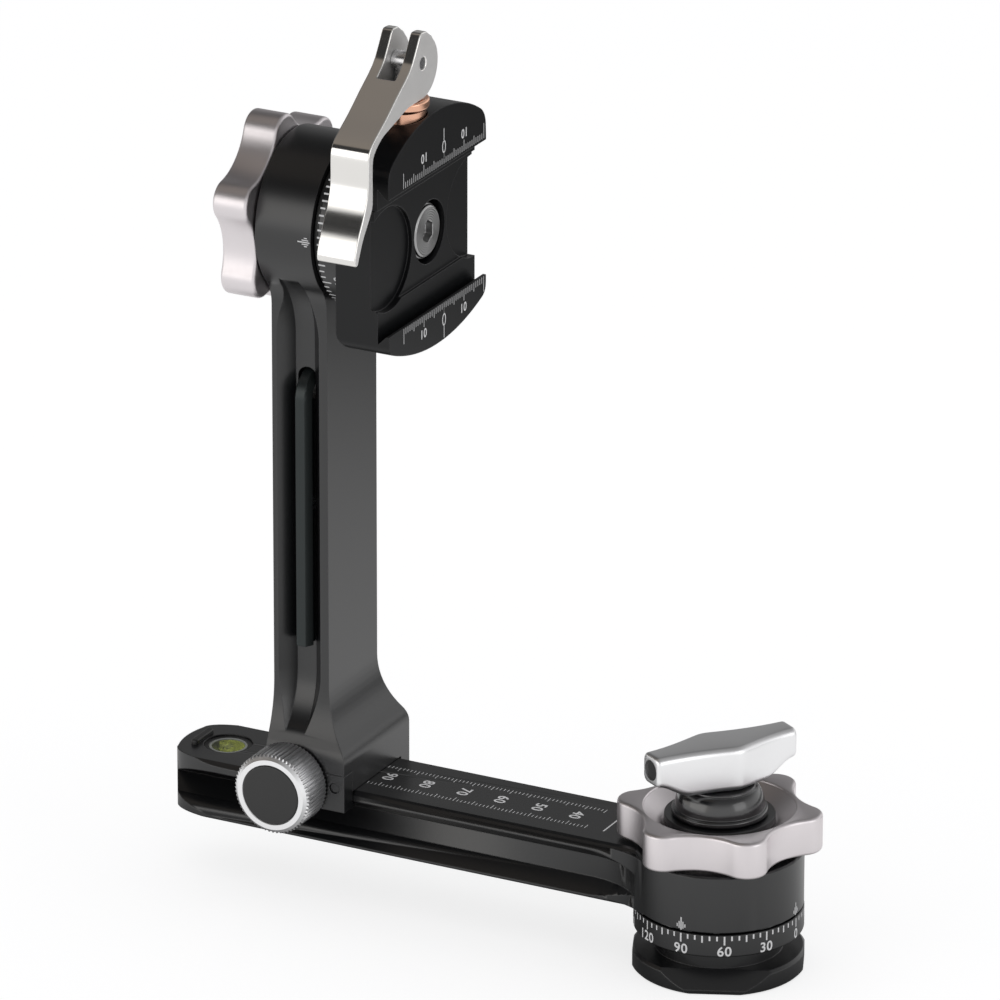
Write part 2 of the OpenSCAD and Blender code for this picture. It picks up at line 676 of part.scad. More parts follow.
// The black dome between the bowl and the wing knob
module centre_hub() color([0.05, 0.05, 0.06]) difference() {
    rotate_extrude($fn = 96) polygon(concat(
        [[0, hub_z], [hub_flange_r - edge, hub_z], [hub_flange_r, hub_z + edge],
            [hub_flange_r, hub_z + hub_flange_h - edge], [hub_flange_r - edge, hub_z + hub_flange_h]],
        [for (p = arc(0, 0, 1, 0, 90, coarse))
            [hub_neck_r + (hub_flange_r - edge - edge - hub_neck_r) * p[0],
                hub_z + hub_flange_h + dome_h * p[1]]],
        [[hub_neck_r, hub_top_z], [0, hub_top_z]]));
    rod_z(centre_bolt_r, hub_z - over, hub_top_z + over);
}

// Half width of the wing knob at a share of its half length, widest a little off its middle
function wing_half(t) = let (u = t + wing_skew_share * (1 - t * t))
    wing_end_w / 2 + (wing_w - wing_end_w) / 2 * pow(max(0, 1 - (sqrt(u * u + wing_tip_share) - sqrt(wing_tip_share))
        / (sqrt(1 + wing_tip_share) - sqrt(wing_tip_share))), wing_hollow);

module wing_outline() polygon([for (side = [1, -1]) for (i = [-fine:fine])
    [side * i / fine * wing_l / 2, side * wing_half(i / fine)]]);

// Side view of the wing knob, with its belly below the ends
module wing_side() polygon(concat(
    [[wing_l / 2, wing_z + wing_h], [-wing_l / 2, wing_z + wing_h]],
    [for (i = [-coarse:coarse]) [i / coarse * wing_l / 2,
        wing_z - wing_belly / 2 * (1 + cos(180 * min(1, max(0, (abs(i / coarse) - wing_flat_share)
            / (1 - wing_flat_share)))))]]));

module wing_knob() color([0.86, 0.86, 0.87]) rotate([0, 0, wing_turn]) difference() {
    intersection() {
        translate([0, 0, wing_low_z]) linear_extrude(wing_belly + wing_h) wing_outline();
        push_y(-wing_w / 2, wing_w / 2) wing_side();
        push_x(-wing_l / 2, wing_l / 2) polygon([
            [-wing_w / 2, wing_low_z + wing_chamfer], [wing_chamfer - wing_w / 2, wing_low_z],
            [wing_w / 2 - wing_chamfer, wing_low_z], [wing_w / 2, wing_low_z + wing_chamfer],
            [wing_w / 2, wing_z + wing_h - wing_chamfer], [wing_w / 2 - wing_chamfer, wing_z + wing_h],
            [wing_chamfer - wing_w / 2, wing_z + wing_h], [-wing_w / 2, wing_z + wing_h - wing_chamfer]]);
    }
    for (side = [0, 1]) mirror([side, 0, 0]) translate([0, 0, wing_z + wing_h / 2])
        rod_x(wing_insert_r, wing_l / 2 - wing_insert_l, wing_l / 2 + over);
    rod_z(centre_bolt_r, wing_low_z - over, wing_z + wing_h / 2);
}

module wing_inserts() color([0.12, 0.12, 0.13]) rotate([0, 0, wing_turn])
    for (side = [0, 1]) mirror([side, 0, 0]) translate([0, 0, wing_z + wing_h / 2])
        rod_x(wing_insert_r, wing_l / 2 - wing_insert_l, wing_l / 2 - edge);

module centre_bolt() color([0.6, 0.6, 0.62]) rod_z(centre_bolt_r, bolt_low_z + edge, wing_z + wing_h / 2);

module level_housing() color([0.05, 0.05, 0.05]) translate([-level_x, 0, 0]) difference() {
    rod_z(level_r, arm_top_z - level_depth, level_face_z);
    rod_z(level_lens_r, arm_top_z - level_depth + edge, arm_top_z + over);
}

module level_fluid() color([0.8, 0.85, 0.2]) translate([-level_x, 0, 0])
    rod_z(level_lens_r, arm_top_z - level_depth + edge, level_face_z - edge);

module level_lens() color([0.9, 0.95, 0.9, 0.4]) translate([-level_x, 0, 0])
    rod_z(level_lens_r, level_face_z - edge, level_face_z);

module end_stop() color([0.05, 0.05, 0.05]) stop_bar(arm_top_z - stop_depth, arm_top_z + stop_proud);

// Points of an S-shaped flare from a lower half width up to an upper one, outer curve first
function flare(hw_top, hw_low, z_low, h) = let (
        rise = hw_low - hw_top,
        sum = (rise * rise + h * h) / (2 * rise),
        r = sum * flare_share,
        turn = asin(h / sum))
    concat(arc(hw_low - r, z_low, r, 0, turn, coarse),
        [for (p = arc(hw_top + sum - r, z_low + h, sum - r, 180 + turn, 180, coarse)) p]);
flare_share = 0.216;

// Outline of the upright seen along Y, whose far side is flat
module upright_front() polygon(concat(
    [[-shaft_t / 2 + upright_cx, leg_low_z], [foot_front_x, leg_low_z]],
    [for (p = flare(shaft_t / 2, foot_reach, flare_z, flare_h)) [p[0] + upright_cx, p[1]]],
    [[shaft_t / 2 + upright_cx, tilt_z + hub_r + over], [-shaft_t / 2 + upright_cx, tilt_z + hub_r + over]]));

// Outline of the upright seen along X
module upright_side() {
    touch = atan2(tilt_z - hub_blend_z, shaft_y + hub_fillet_r);
    half = concat([[foot_side_y, leg_low_z]],
        flare(shaft_y, foot_side_y, flare_z, flare_h),
        arc(shaft_y + hub_fillet_r, hub_blend_z, hub_fillet_r, 180, 180 - touch, coarse),
        arc(0, tilt_z, hub_r, -touch, 90, fine));
    polygon(concat(half, mirrored(half)));
}

key_wheel = wheel_profile(-key_groove_w / 2, -key_groove_floor_w / 2, key_groove_floor_w / 2, key_groove_w / 2,
    key_groove_depth);

// The upright's side groove at +Y, with its wheel run-outs
module upright_groove() translate([upright_cx - key_groove_shift, 0, 0]) {
    translate([0, 0, wheel_low_z]) linear_extrude(wheel_high_z - wheel_low_z)
        polygon([for (p = key_wheel) [p[1], key_wheel_y - p[0]]]);
    for (z = [wheel_low_z, wheel_high_z]) translate([0, key_wheel_y, z]) rotate([0, 90, 0])
        rotate_extrude($fn = 128) polygon(key_wheel);
}

module upright_arm() color([0.09, 0.09, 0.1]) difference() {
    union() {
        intersection() {
            push_y(-foot_side_y - over, foot_side_y + over) upright_front();
            push_x(hub_back_x, foot_front_x) upright_side();
        }
        translate([0, 0, tilt_z]) rod_x(hub_r, hub_back_x, hub_front_x, $fn = 128);
    }
    push_x(hub_back_x - over, foot_front_x + over) polygon([
        [-foot_side_y - over, leg_low_z - over], [-foot_side_y - over, plate_top_z],
        [-channel_hw, plate_top_z], [-channel_hw, channel_z],
        [channel_hw, channel_z], [channel_hw, lip_low_z - side_gap],
        [channel_hw - (lip_low_z - side_gap - leg_low_z) * rail_groove_depth / rail_flank_h, leg_low_z],
        [channel_hw - rail_groove_depth, leg_low_z - over]]);
    upright_groove();
    mirror([0, 1, 0]) upright_groove();
    translate([0, 0, tilt_z]) rod_x(bush_r, hub_back_x - over, hub_front_x + over);
    translate([upright_cx, 0, key_top_z]) rod_y(key_hole_r, -shaft_y, shaft_y + over);
    translate([upright_cx - key_hole_r, -shaft_y, key_top_z - key_bend_r])
        cube([key_hole_r + key_hole_r, shaft_y + key_y + key_bend_r, key_bend_r]);
    translate([upright_cx, 0, magnet_z]) rod_y(magnet_r, -key_floor_y - over, magnet_h - key_floor_y);
    translate([slide_cx, 0, slide_z]) rod_y(slide_screw_r + fit, -foot_side_y, slide_screw_l + edge - channel_hw);
    for (side = [-1, 1]) translate([foot_mid_x + side * guide_pin_gap / 2, 0, slide_z])
        rod_y(guide_pin_r, -foot_side_y, slide_screw_l / 2 - channel_hw);
}
foot_mid_x = (hub_back_x + foot_front_x) / 2;

module tilt_bush() color([0.78, 0.62, 0.3]) translate([0, 0, tilt_z]) difference() {
    rod_x(bush_r, hub_back_x, hub_front_x);
    rod_x(tilt_bolt_r + fit, hub_back_x - over, hub_front_x + over);
}

module key_magnet() color([0.7, 0.7, 0.72]) translate([upright_cx, 0, magnet_z])
    rod_y(magnet_r, -key_floor_y, magnet_h - key_floor_y);

// L-shaped hex key: the short leg stands in a bore across the upright
module hex_key() color([0.12, 0.13, 0.13]) translate([upright_cx, key_y, 0]) {
    translate([0, 0, key_low_z]) cylinder(r = key_r, h = key_top_z - key_bend_r - key_low_z, $fn = 6);
    translate([0, key_bend_r, key_top_z - key_bend_r]) rotate([90, 0, 90]) rotate([0, 0, 90])
        rotate_extrude(angle = 90, $fn = 48) translate([key_bend_r, 0]) rotate(30) circle(r = key_r, $fn = 6);
    translate([0, 0, key_top_z]) rotate([-90, 0, 0])
        translate([0, 0, key_bend_r]) cylinder(r = key_r, h = key_short_l - key_bend_r - key_af / 2, $fn = 6);
}

// The jaw plate that hooks under the rail's near lip
module slide_jaw() color([0.09, 0.09, 0.1]) difference() {
    push_x(hub_back_x, foot_front_x) polygon([
        [-foot_side_y, leg_low_z], [-foot_side_y, plate_top_z - slide_gap],
        [-channel_hw - slide_gap, plate_top_z - slide_gap], [-channel_hw - slide_gap, lip_low_z - side_gap],
        [(lip_low_z - side_gap - leg_low_z) * rail_groove_depth / rail_flank_h - channel_hw - slide_gap, leg_low_z]]);
    translate([slide_cx, 0, slide_z]) rod_y(slide_screw_r + turn_gap, -foot_side_y - over, 0);
    for (side = [-1, 1]) translate([foot_mid_x + side * guide_pin_gap / 2, 0, slide_z])
        rod_y(guide_pin_r + fit, -foot_side_y - over, 0);
}

module slide_jaw_pins() color([0.6, 0.6, 0.62]) for (side = [-1, 1])
    translate([foot_mid_x + side * guide_pin_gap / 2, 0, slide_z])
        rod_y(guide_pin_r, edge - foot_side_y, slide_screw_l / 2 - channel_hw);

module slide_screw() color([0.6, 0.6, 0.62]) translate([slide_cx, 0, slide_z])
    rod_y(slide_screw_r, -knob_back_y - slide_knob_l / 2, slide_screw_l - channel_hw);

module slide_washer() color([0.04, 0.04, 0.04]) translate([slide_cx, 0, slide_z]) difference() {
    rod_y(slide_washer_r, -knob_back_y, -foot_side_y - slide_gap);
    rod_y(slide_screw_r, -knob_back_y - over, -foot_side_y + over);
}

module slide_knob() color([0.78, 0.78, 0.8]) translate([slide_cx, 0, slide_z]) difference() {
    intersection() {
        push_y(-knob_front_y, -knob_back_y) polygon([for (i = [0:knurl_count - 1]) for (e = [0, 1])
            let (a = (i + e / 2) * 360 / knurl_count, r = slide_knob_r - e * knurl_depth) [r * cos(a), r * sin(a)]]);
        rotate([90, 0, 0]) rotate_extrude($fn = 96) polygon([[0, knob_back_y],
            [slide_knob_r - edge, knob_back_y], [slide_knob_r + edge, knob_back_y + edge + edge],
            [slide_knob_r + edge, knob_front_y - slide_knob_bevel - edge],
            [slide_knob_r - slide_knob_bevel, knob_front_y - edge / 2], [slide_knob_r - slide_knob_bevel - edge / 2, knob_front_y],
            [0, knob_front_y]]);
    }
    rod_y(slide_cap_r, -knob_front_y - over, -knob_front_y + edge + edge);
    rod_y(slide_screw_r, -knob_back_y - slide_knob_l / 2, -knob_back_y + over);
}

module slide_knob_cap() color([0.1, 0.1, 0.11]) translate([slide_cx, 0, slide_z])
    rotate([90, 0, 0]) rotate_extrude($fn = 96) polygon([[0, knob_front_y - edge - edge],
        [slide_cap_r, knob_front_y - edge - edge], [slide_cap_r, knob_front_y], [slide_cap_r - edge, knob_front_y + edge / 2],
        [0, knob_front_y + edge]]);

module tilt_friction_washer() color([0.1, 0.1, 0.1]) translate([0, 0, tilt_z]) difference() {
    rod_x(tilt_friction_r, friction_x, friction_x + tilt_friction_h);
    rod_x(tilt_bolt_r, friction_x - over, tilt_ring_x + over);
}

module tilt_degree_ring() color([0.09, 0.09, 0.1]) translate([0, 0, tilt_z]) difference() {
    rotate([0, 90, 0]) rotate_extrude($fn = 128) polygon([[0, tilt_ring_x - slide_gap],
        [tilt_ring_r - edge, tilt_ring_x - slide_gap], [tilt_ring_r, tilt_ring_x - slide_gap + edge],
        [tilt_ring_r, clamp_back_x], [0, clamp_back_x]]);
    rod_x(tilt_bolt_r, tilt_ring_x - over, clamp_back_x + over);
}

module tilt_bolt() color([0.75, 0.75, 0.76]) translate([0, 0, tilt_z]) difference() {
    union() {
        rod_x(tilt_bolt_r, tilt_cap_x + tilt_cap_h + edge, head_back_x + edge);
        rotate([0, 90, 0]) rotate_extrude() polygon([[0, head_back_x], [tilt_head_r, head_back_x],
            [tilt_head_r, head_front_x - edge], [tilt_head_r - edge, head_front_x], [0, head_front_x]]);
    }
    translate([head_front_x - tilt_head_h / 2, 0, 0]) rotate([0, 90, 0])
        cylinder(r = tilt_hex_af / sqrt(3), h = tilt_head_h, $fn = 6);
}

module tilt_head_washer() color([0.7, 0.7, 0.72]) translate([0, 0, tilt_z]) difference() {
    rotate([0, 90, 0]) rotate_extrude() polygon([[0, head_back_x], [tilt_washer_r, head_back_x],
        [tilt_washer_r, head_front_x - edge - edge - edge], [tilt_washer_r - edge, head_front_x - edge - edge],
        [0, head_front_x - edge - edge]]);
    rod_x(tilt_head_r, head_back_x - over, head_front_x + over);
}

module tilt_star_knob() color([0.8, 0.78, 0.79]) translate([tilt_star_x, 0, tilt_z]) difference() {
    rotate([0, -90, 0]) rotate([0, 0, -90]) mirror([1, 0, 0]) rotate([0, 0, tilt_star_turn]) star_body();
    rod_x(tilt_bolt_r + fit, -star_h - over, over);
    rod_x(tilt_cap_r, -star_h - over, tilt_cap_h - star_h);
}

module tilt_knob_cap() color([0.1, 0.1, 0.11]) translate([tilt_star_x - star_h, 0, tilt_z])
    rod_x(tilt_cap_r, 0, tilt_cap_h);

// A jaw's outline above its centre line in the YZ plane, with rounded corners
module jaw_outline(r, height, low, corner) {
    reach = clamp_half_l - corner;
    turn = asin(reach / (r - corner));
    half = concat([[clamp_half_l, low]],
        arc(reach, (r - corner) * cos(turn) + height - r, corner, 0, 90 - turn, coarse),
        arc(0, height - r, r, 90 - turn, 90, fine));
    translate([clamp_mid_y, 0]) polygon(concat(half, mirrored(half)));
}

// The plate's dovetail space beside one lip, seen along Y
module plate_space(side) polygon([
    [seat_x, 0], [seat_x, side * half_plate], [seat_x + lip_reach, side * half_lip],
    [over - lip_x, side * half_lip], [over - lip_x, 0]]);

module clamp_body() color([0.08, 0.08, 0.09]) translate([0, 0, tilt_z]) difference() {
    intersection() {
        push_x(clamp_back_x, -lip_x) mirror([0, 1]) jaw_outline(low_jaw_r, low_jaw_h, -body_top, low_corner_r);
        translate([0, clamp_mid_y, low_jaw_r - low_jaw_h]) rotate([0, 90, 0]) rotate_extrude($fn = 256)
            polygon(concat([[0, clamp_back_x]],
                arc(low_jaw_r - back_edge_r, clamp_back_x + back_edge_r, back_edge_r, -90, 0, coarse),
                [[low_jaw_r, -lip_x], [0, -lip_x]]));
    }
    push_y(-clamp_half_l - clamp_half_l, clamp_half_l + clamp_half_l) {
        plate_space(-1);
        translate([floor_x, -seat_in]) square([floor_depth + seat_depth + over, low_jaw_r]);
    }
    for (side = [-1, 1]) translate([0, side * scoop_y, 0]) rod_x(scoop_r, floor_x - scoop_depth, over - lip_x);
    rod_x(tilt_bore_r, head_back_x, over - lip_x);
    rod_x(tilt_bolt_r, clamp_back_x - over, head_back_x + over);
    translate([bar_cx, -drawbar_y, 0]) rod_z(drawbar_stud_r, pin_low, body_top + over);
    for (side = [-1, 1]) translate([pin_cx, side * jaw_pin_gap - drawbar_y, 0])
        rod_z(jaw_pin_r, pin_low, body_top + over);
}

module moving_jaw() color([0.08, 0.08, 0.09]) translate([0, 0, tilt_z]) difference() {
    push_x(clamp_back_x, -lip_x) jaw_outline(top_jaw_r, top_jaw_h, jaw_low, top_corner_r);
    push_y(-clamp_half_l - clamp_half_l, clamp_half_l + clamp_half_l) plate_space(1);
    translate([bar_cx, -drawbar_y, 0]) {
        rod_z(drawbar_r + turn_gap, 0, top_jaw_h + over);
        rod_z(press_r - edge - edge + turn_gap, top_jaw_h - press_seat, top_jaw_h + over);
    }
    for (side = [-1, 1]) {
        translate([pin_cx, side * jaw_pin_gap - drawbar_y, 0]) rod_z(jaw_pin_r + fit, 0, pin_up + edge);
        translate([pin_cx, side * jaw_pin_gap / 2 - drawbar_y, 0])
            rod_z(spring_r + spring_wire_r + turn_gap, 0, pin_up);
    }
}

module jaw_guide_pins() color([0.6, 0.6, 0.62]) for (side = [-1, 1])
    translate([pin_cx, side * jaw_pin_gap - drawbar_y, tilt_z]) rod_z(jaw_pin_r, pin_low, pin_up);

// Coil springs that lift the moving jaw when the lever opens
module jaw_springs() color([0.6, 0.6, 0.62]) for (side = [-1, 1])
    translate([pin_cx, side * jaw_pin_gap / 2 - drawbar_y, tilt_z + body_top])
        linear_extrude(height = pin_up - body_top - slide_gap, twist = -360 * spring_turns,
            $fn = 12) translate([spring_r, 0]) circle(r = spring_wire_r, $fn = 8);
spring_turns = 5;

module drawbar() color([0.7, 0.7, 0.72]) translate([bar_cx, -drawbar_y, 0]) difference() {
    union() {
        rod_z(drawbar_stud_r, tilt_z + pin_low, tilt_z + body_top);
        rod_z(drawbar_r, tilt_z + body_top, pivot_z);
        translate([0, 0, pivot_z]) rod_x(lever_pin_r + edge + edge, -drawbar_r, drawbar_r);
    }
    translate([0, 0, pivot_z]) rod_x(lever_pin_r + fit, -drawbar_r - over, drawbar_r + over);
}

module pressure_washer() color([0.8, 0.5, 0.36]) translate([bar_cx, -drawbar_y, 0]) difference() {
    rotate_extrude($fn = 96) polygon([[0, top_z - press_seat], [press_r - edge - edge, top_z - press_seat],
        [press_r - edge - edge, top_z + press_proud / 3], [press_r, top_z + press_proud / 2],
        [press_r, press_top_z - edge], [press_r - edge, press_top_z], [0, press_top_z]]);
    rod_z(drawbar_r + turn_gap, top_z - press_seat - over, press_top_z + over);
}

// Side view of the lever about its pivot, as shares of its drop, from the ears down the outer face,
// round the tip and back up the inner face
lever_shares = [
    [0.042, 0.183], [0, 0.188], [-0.032, 0.18], [-0.078, 0.108], [-0.158, 0.002], [-0.318, -0.108],
    [-0.45, -0.2], [-0.57, -0.272], [-0.635, -0.32], [-0.668, -0.385], [-0.674, -0.57], [-0.72, -0.698],
    [-0.783, -0.805], [-0.825, -0.898], [-0.838, -0.955], [-0.825, -0.983], [-0.8, -0.98], [-0.78, -0.94],
    [-0.735, -0.852], [-0.68, -0.778], [-0.628, -0.705], [-0.613, -0.64], [-0.613, -0.45], [-0.595, -0.375],
    [-0.505, -0.308], [-0.398, -0.275], [-0.292, -0.248], [-0.23, -0.228]];

// A smooth curve through points
function smooth(p, n) = [for (i = [0:len(p) - 2]) for (k = [0:n - 1]) let (
        t = k / n,
        a = p[max(i - 1, 0)],
        b = p[i],
        c = p[i + 1],
        d = p[min(i + 2, len(p) - 1)])
    ((2 * b) + (c - a) * t + (2 * a - 5 * b + 4 * c - d) * t * t + (3 * b - a - 3 * c + d) * t * t * t) / 2];

module lever_outline() {
    cam = [for (i = [0:fine]) let (t = i / fine, a = -90 + t * (lever_swing_deg + 10),
        r = cam_r - cam_fall * t) [r * cos(a), r * sin(a)]];
    nose = cam_r - cam_fall;
    polygon(concat([[-nose, -cam_r], [0, -cam_r]], [for (i = [1:fine]) cam[i]],
        [[nose * cos(50), nose * sin(50)]], smooth([for (p = lever_shares) p * lever_drop], 3)));
}

module clamp_lever() color([0.85, 0.84, 0.82]) translate([bar_cx, -drawbar_y, pivot_z]) difference() {
    push_x(-lever_w / 2, lever_w / 2) lever_outline();
    rod_x(ear_slot_r, -ear_slot_w / 2, ear_slot_w / 2);
    rod_x(lever_pin_r, -lever_w, lever_w);
}

module lever_pin() color([0.6, 0.6, 0.62]) translate([bar_cx, -drawbar_y, pivot_z])
    rod_x(lever_pin_r, edge / 2 - lever_w / 2, lever_w / 2 - edge / 2);

dovetail_base();
base_screws();
pan_spindle();
pan_degree_ring();
thrust_washer();
lower_arm();
friction_disc();
pan_star_knob();
spindle_collar();
centre_hub();
wing_knob();
wing_inserts();
centre_bolt();
level_housing();
level_fluid();
level_lens();
end_stop();
upright_arm();
tilt_bush();
key_magnet();
hex_key();
slide_jaw();
slide_jaw_pins();
slide_screw();
slide_washer();
slide_knob();
slide_knob_cap();
tilt_friction_washer();
tilt_degree_ring();
tilt_bolt();
tilt_head_washer();
tilt_star_knob();
tilt_knob_cap();
clamp_body();
moving_jaw();
jaw_guide_pins();
jaw_springs();
drawbar();
pressure_washer();
clamp_lever();
lever_pin();
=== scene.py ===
import json
import math
import bmesh
import bpy
from mathutils import Matrix, Vector

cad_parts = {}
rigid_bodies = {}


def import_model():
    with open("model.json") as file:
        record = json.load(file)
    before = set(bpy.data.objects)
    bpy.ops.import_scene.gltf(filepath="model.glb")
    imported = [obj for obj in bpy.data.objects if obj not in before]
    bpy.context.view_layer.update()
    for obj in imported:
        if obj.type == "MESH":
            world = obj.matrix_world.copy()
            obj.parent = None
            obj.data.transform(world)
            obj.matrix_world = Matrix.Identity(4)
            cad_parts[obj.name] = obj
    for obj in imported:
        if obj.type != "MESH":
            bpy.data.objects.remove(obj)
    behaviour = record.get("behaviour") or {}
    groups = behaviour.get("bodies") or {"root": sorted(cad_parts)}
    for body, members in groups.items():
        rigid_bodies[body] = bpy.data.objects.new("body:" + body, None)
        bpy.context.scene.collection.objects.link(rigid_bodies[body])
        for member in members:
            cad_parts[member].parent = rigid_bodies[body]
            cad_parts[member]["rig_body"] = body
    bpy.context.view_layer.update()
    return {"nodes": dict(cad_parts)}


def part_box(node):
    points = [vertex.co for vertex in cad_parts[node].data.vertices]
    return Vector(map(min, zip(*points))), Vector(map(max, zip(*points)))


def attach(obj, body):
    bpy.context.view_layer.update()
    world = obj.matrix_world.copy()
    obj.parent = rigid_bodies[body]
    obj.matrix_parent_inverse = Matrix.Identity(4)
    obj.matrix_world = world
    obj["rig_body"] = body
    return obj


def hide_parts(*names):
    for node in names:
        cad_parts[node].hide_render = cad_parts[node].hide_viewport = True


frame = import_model()
nodes = frame["nodes"]
scene = bpy.context.scene
MM = 0.001

# Places and radii of the CAD part, in millimetres
HUB_R = 20
PAN_RING_R = 20.1
TILT_Z = 169.7
TILT_RING_X = -95.8
RAIL_TOP = 29.9
LEVEL_X = -131.4
KNOB_X, KNOB_Z = -105.2, 31.8
CLAMP_FACE_X = -72.9
SCALE_SHIFT = 2.5


# Camera: a long lens at azimuth 27.4, elevation 21.4, aimed at a point over the lower arm
def make_camera():
    az, el, roll = (math.radians(a) for a in (27.366, 21.408, 0.103))
    back = Vector((math.sin(az) * math.cos(el), -math.cos(az) * math.cos(el), math.sin(el)))
    right = Vector((math.cos(az), math.sin(az), 0))
    up = back.cross(right)
    right, up = right * math.cos(roll) + up * math.sin(roll), up * math.cos(roll) - right * math.sin(roll)
    dist = 2340.5 * MM
    aside, lower = 1.67, 5.0
    target = Vector((-60, 0, 111.05)) * MM
    cam = bpy.data.objects.new("camera", bpy.data.cameras.new("camera"))
    scene.collection.objects.link(cam)
    place = target + back * dist + right * aside * MM - up * lower * MM
    m = Matrix((right, up, back)).transposed().to_4x4()
    m.translation = place
    cam.matrix_world = m
    cam.data.sensor_width = 36
    cam.data.lens = 360
    cam.data.clip_start = 0.05
    cam.data.clip_end = 20
    scene.camera = cam


make_camera()
scene.view_settings.view_transform = "Standard"
scene.view_settings.look = "None"


# Node helpers
class Tree:
    def __init__(self, tree, clear=True):
        self.t = tree
        if clear:
            tree.nodes.clear()

    def node(self, kind, **values):
        n = self.t.nodes.new(kind)
        for k, v in values.items():
            if hasattr(n, k):
                setattr(n, k, v)
            else:
                n.inputs[k].default_value = v
        return n

    def link(self, a, b):
        self.t.links.new(a, b)


def material(name, color, rough, metal=0.0, bump=0.0, bump_scale=(1, 1, 1),
             bump_size=1500.0, coat=0.0, spec=0.5, vary=0.0, tint=0.0, alpha=1.0, worn=None, corner=0.0):
    """A principled material whose roughness, colour and surface vary over the object's own coordinates.
    worn is the colour that shows through along edges, over a corner of so many millimetres."""
    m = bpy.data.materials.new(name)
    m.use_nodes = True
    t = Tree(m.node_tree)
    out = t.node("ShaderNodeOutputMaterial")
    p = t.node("ShaderNodeBsdfPrincipled")
    p.inputs["Metallic"].default_value = metal
    p.inputs["Specular IOR Level"].default_value = spec
    p.inputs["IOR"].default_value = 1.5
    p.inputs["Coat Weight"].default_value = coat
    p.inputs["Coat Roughness"].default_value = 0.08
    p.inputs["Alpha"].default_value = alpha
    t.link(p.outputs[0], out.inputs[0])
    where = t.node("ShaderNodeTexCoord")
    stretch = t.node("ShaderNodeMapping")
    stretch.inputs["Scale"].default_value = bump_scale
    t.link(where.outputs["Object"], stretch.inputs["Vector"])
    fine = t.node("ShaderNodeTexNoise")
    fine.inputs["Scale"].default_value = bump_size
    fine.inputs["Detail"].default_value = 3.0
    t.link(stretch.outputs[0], fine.inputs["Vector"])
    broad = t.node("ShaderNodeTexNoise")
    broad.inputs["Scale"].default_value = 90.0
    broad.inputs["Detail"].default_value = 2.0
    t.link(where.outputs["Object"], broad.inputs["Vector"])
    ramp = t.node("ShaderNodeMapRange")
    ramp.inputs["To Min"].default_value = max(0.02, rough - vary)
    ramp.inputs["To Max"].default_value = rough + vary
    t.link(fine.outputs["Fac"], ramp.inputs["Value"])
    t.link(ramp.outputs[0], p.inputs["Roughness"])
    mix = t.node("ShaderNodeMix", data_type="RGBA")
    mix.inputs[6].default_value = (*[c * (1 - tint) for c in color], 1)
    mix.inputs[7].default_value = (*[min(1, c * (1 + tint)) for c in color], 1)
    t.link(broad.outputs["Fac"], mix.inputs[0])
    face = None
    if worn:
        face = t.node("ShaderNodeBevel", samples=4)
        face.inputs["Radius"].default_value = corner * MM
        flat_normal = t.node("ShaderNodeNewGeometry")
        turn = t.node("ShaderNodeVectorMath", operation="DOT_PRODUCT")
        t.link(face.outputs[0], turn.inputs[0])
        t.link(flat_normal.outputs["Normal"], turn.inputs[1])
        rub = t.node("ShaderNodeMapRange")
        rub.inputs["From Min"].default_value = 0.985
        rub.inputs["From Max"].default_value = 0.86
        t.link(turn.outputs["Value"], rub.inputs["Value"])
        edge_mix = t.node("ShaderNodeMix", data_type="RGBA")
        edge_mix.inputs[7].default_value = (*worn, 1)
        t.link(rub.outputs[0], edge_mix.inputs[0])
        t.link(mix.outputs[2], edge_mix.inputs[6])
        t.link(edge_mix.outputs[2], p.inputs["Base Color"])
    else:
        t.link(mix.outputs[2], p.inputs["Base Color"])
    if bump:
        b = t.node("ShaderNodeBump")
        b.inputs["Strength"].default_value = 1.0
        b.inputs["Distance"].default_value = bump * MM
        t.link(fine.outputs["Fac"], b.inputs["Height"])
        if face:
            t.link(face.outputs[0], b.inputs["Normal"])
        t.link(b.outputs[0], p.inputs["Normal"])
    return m


black = material("black_anodised_satin", (0.0055, 0.0058, 0.0066), 0.3, 0.0, bump=0.004, bump_size=2600, vary=0.04,
                 tint=0.12, spec=0.75, worn=(0.03, 0.03, 0.032), corner=0.35)
satin = material("light_satin", (0.74, 0.70, 0.715), 0.4, 1.0, bump=0.004, bump_size=900, vary=0.05, tint=0.03)
silver = material("bright_satin", (0.88, 0.88, 0.89), 0.34, 1.0, bump=0.003, bump_size=1200, vary=0.05, tint=0.02)
stainless = material("polished_stainless", (0.80, 0.785, 0.76), 0.13, 1.0, bump=0.0006, bump_size=500, vary=0.03,
                     tint=0.02, bump_scale=(0.2, 3, 3))
deep = material("deep_black_anodised", (0.004, 0.0043, 0.005), 0.34, 0.0, bump=0.004, bump_size=2600, vary=0.04,
                tint=0.12, spec=0.3, worn=(0.03, 0.03, 0.032), corner=0.35)
brushed = material("brushed_stainless", (0.92, 0.91, 0.90), 0.5, 1.0, bump=0.003, bump_size=700, vary=0.05, tint=0.03,
                   bump_scale=(1, 0.3, 3))
glossy_black = material("polished_black", (0.004, 0.004, 0.005), 0.2, 0.0, bump=0.001, bump_size=2000, vary=0.03,
                        tint=0.1, spec=0.9, coat=0.4)
copper = material("turned_copper", (0.83, 0.47, 0.33), 0.24, 1.0, bump=0.003, bump_size=900, vary=0.06, tint=0.05,
                  bump_scale=(0.3, 0.3, 4))
steel = material("turned_steel", (0.55, 0.55, 0.56), 0.27, 1.0, bump=0.002, bump_size=1500, vary=0.05, tint=0.04)
oxide = material("black_oxide", (0.03, 0.036, 0.036), 0.34, 0.6, bump=0.004, bump_size=1800, vary=0.06, tint=0.15)
gloss = material("gloss_black", (0.012, 0.012, 0.013), 0.12, 0.0, coat=0.6, vary=0.03, tint=0.1, spec=0.7)
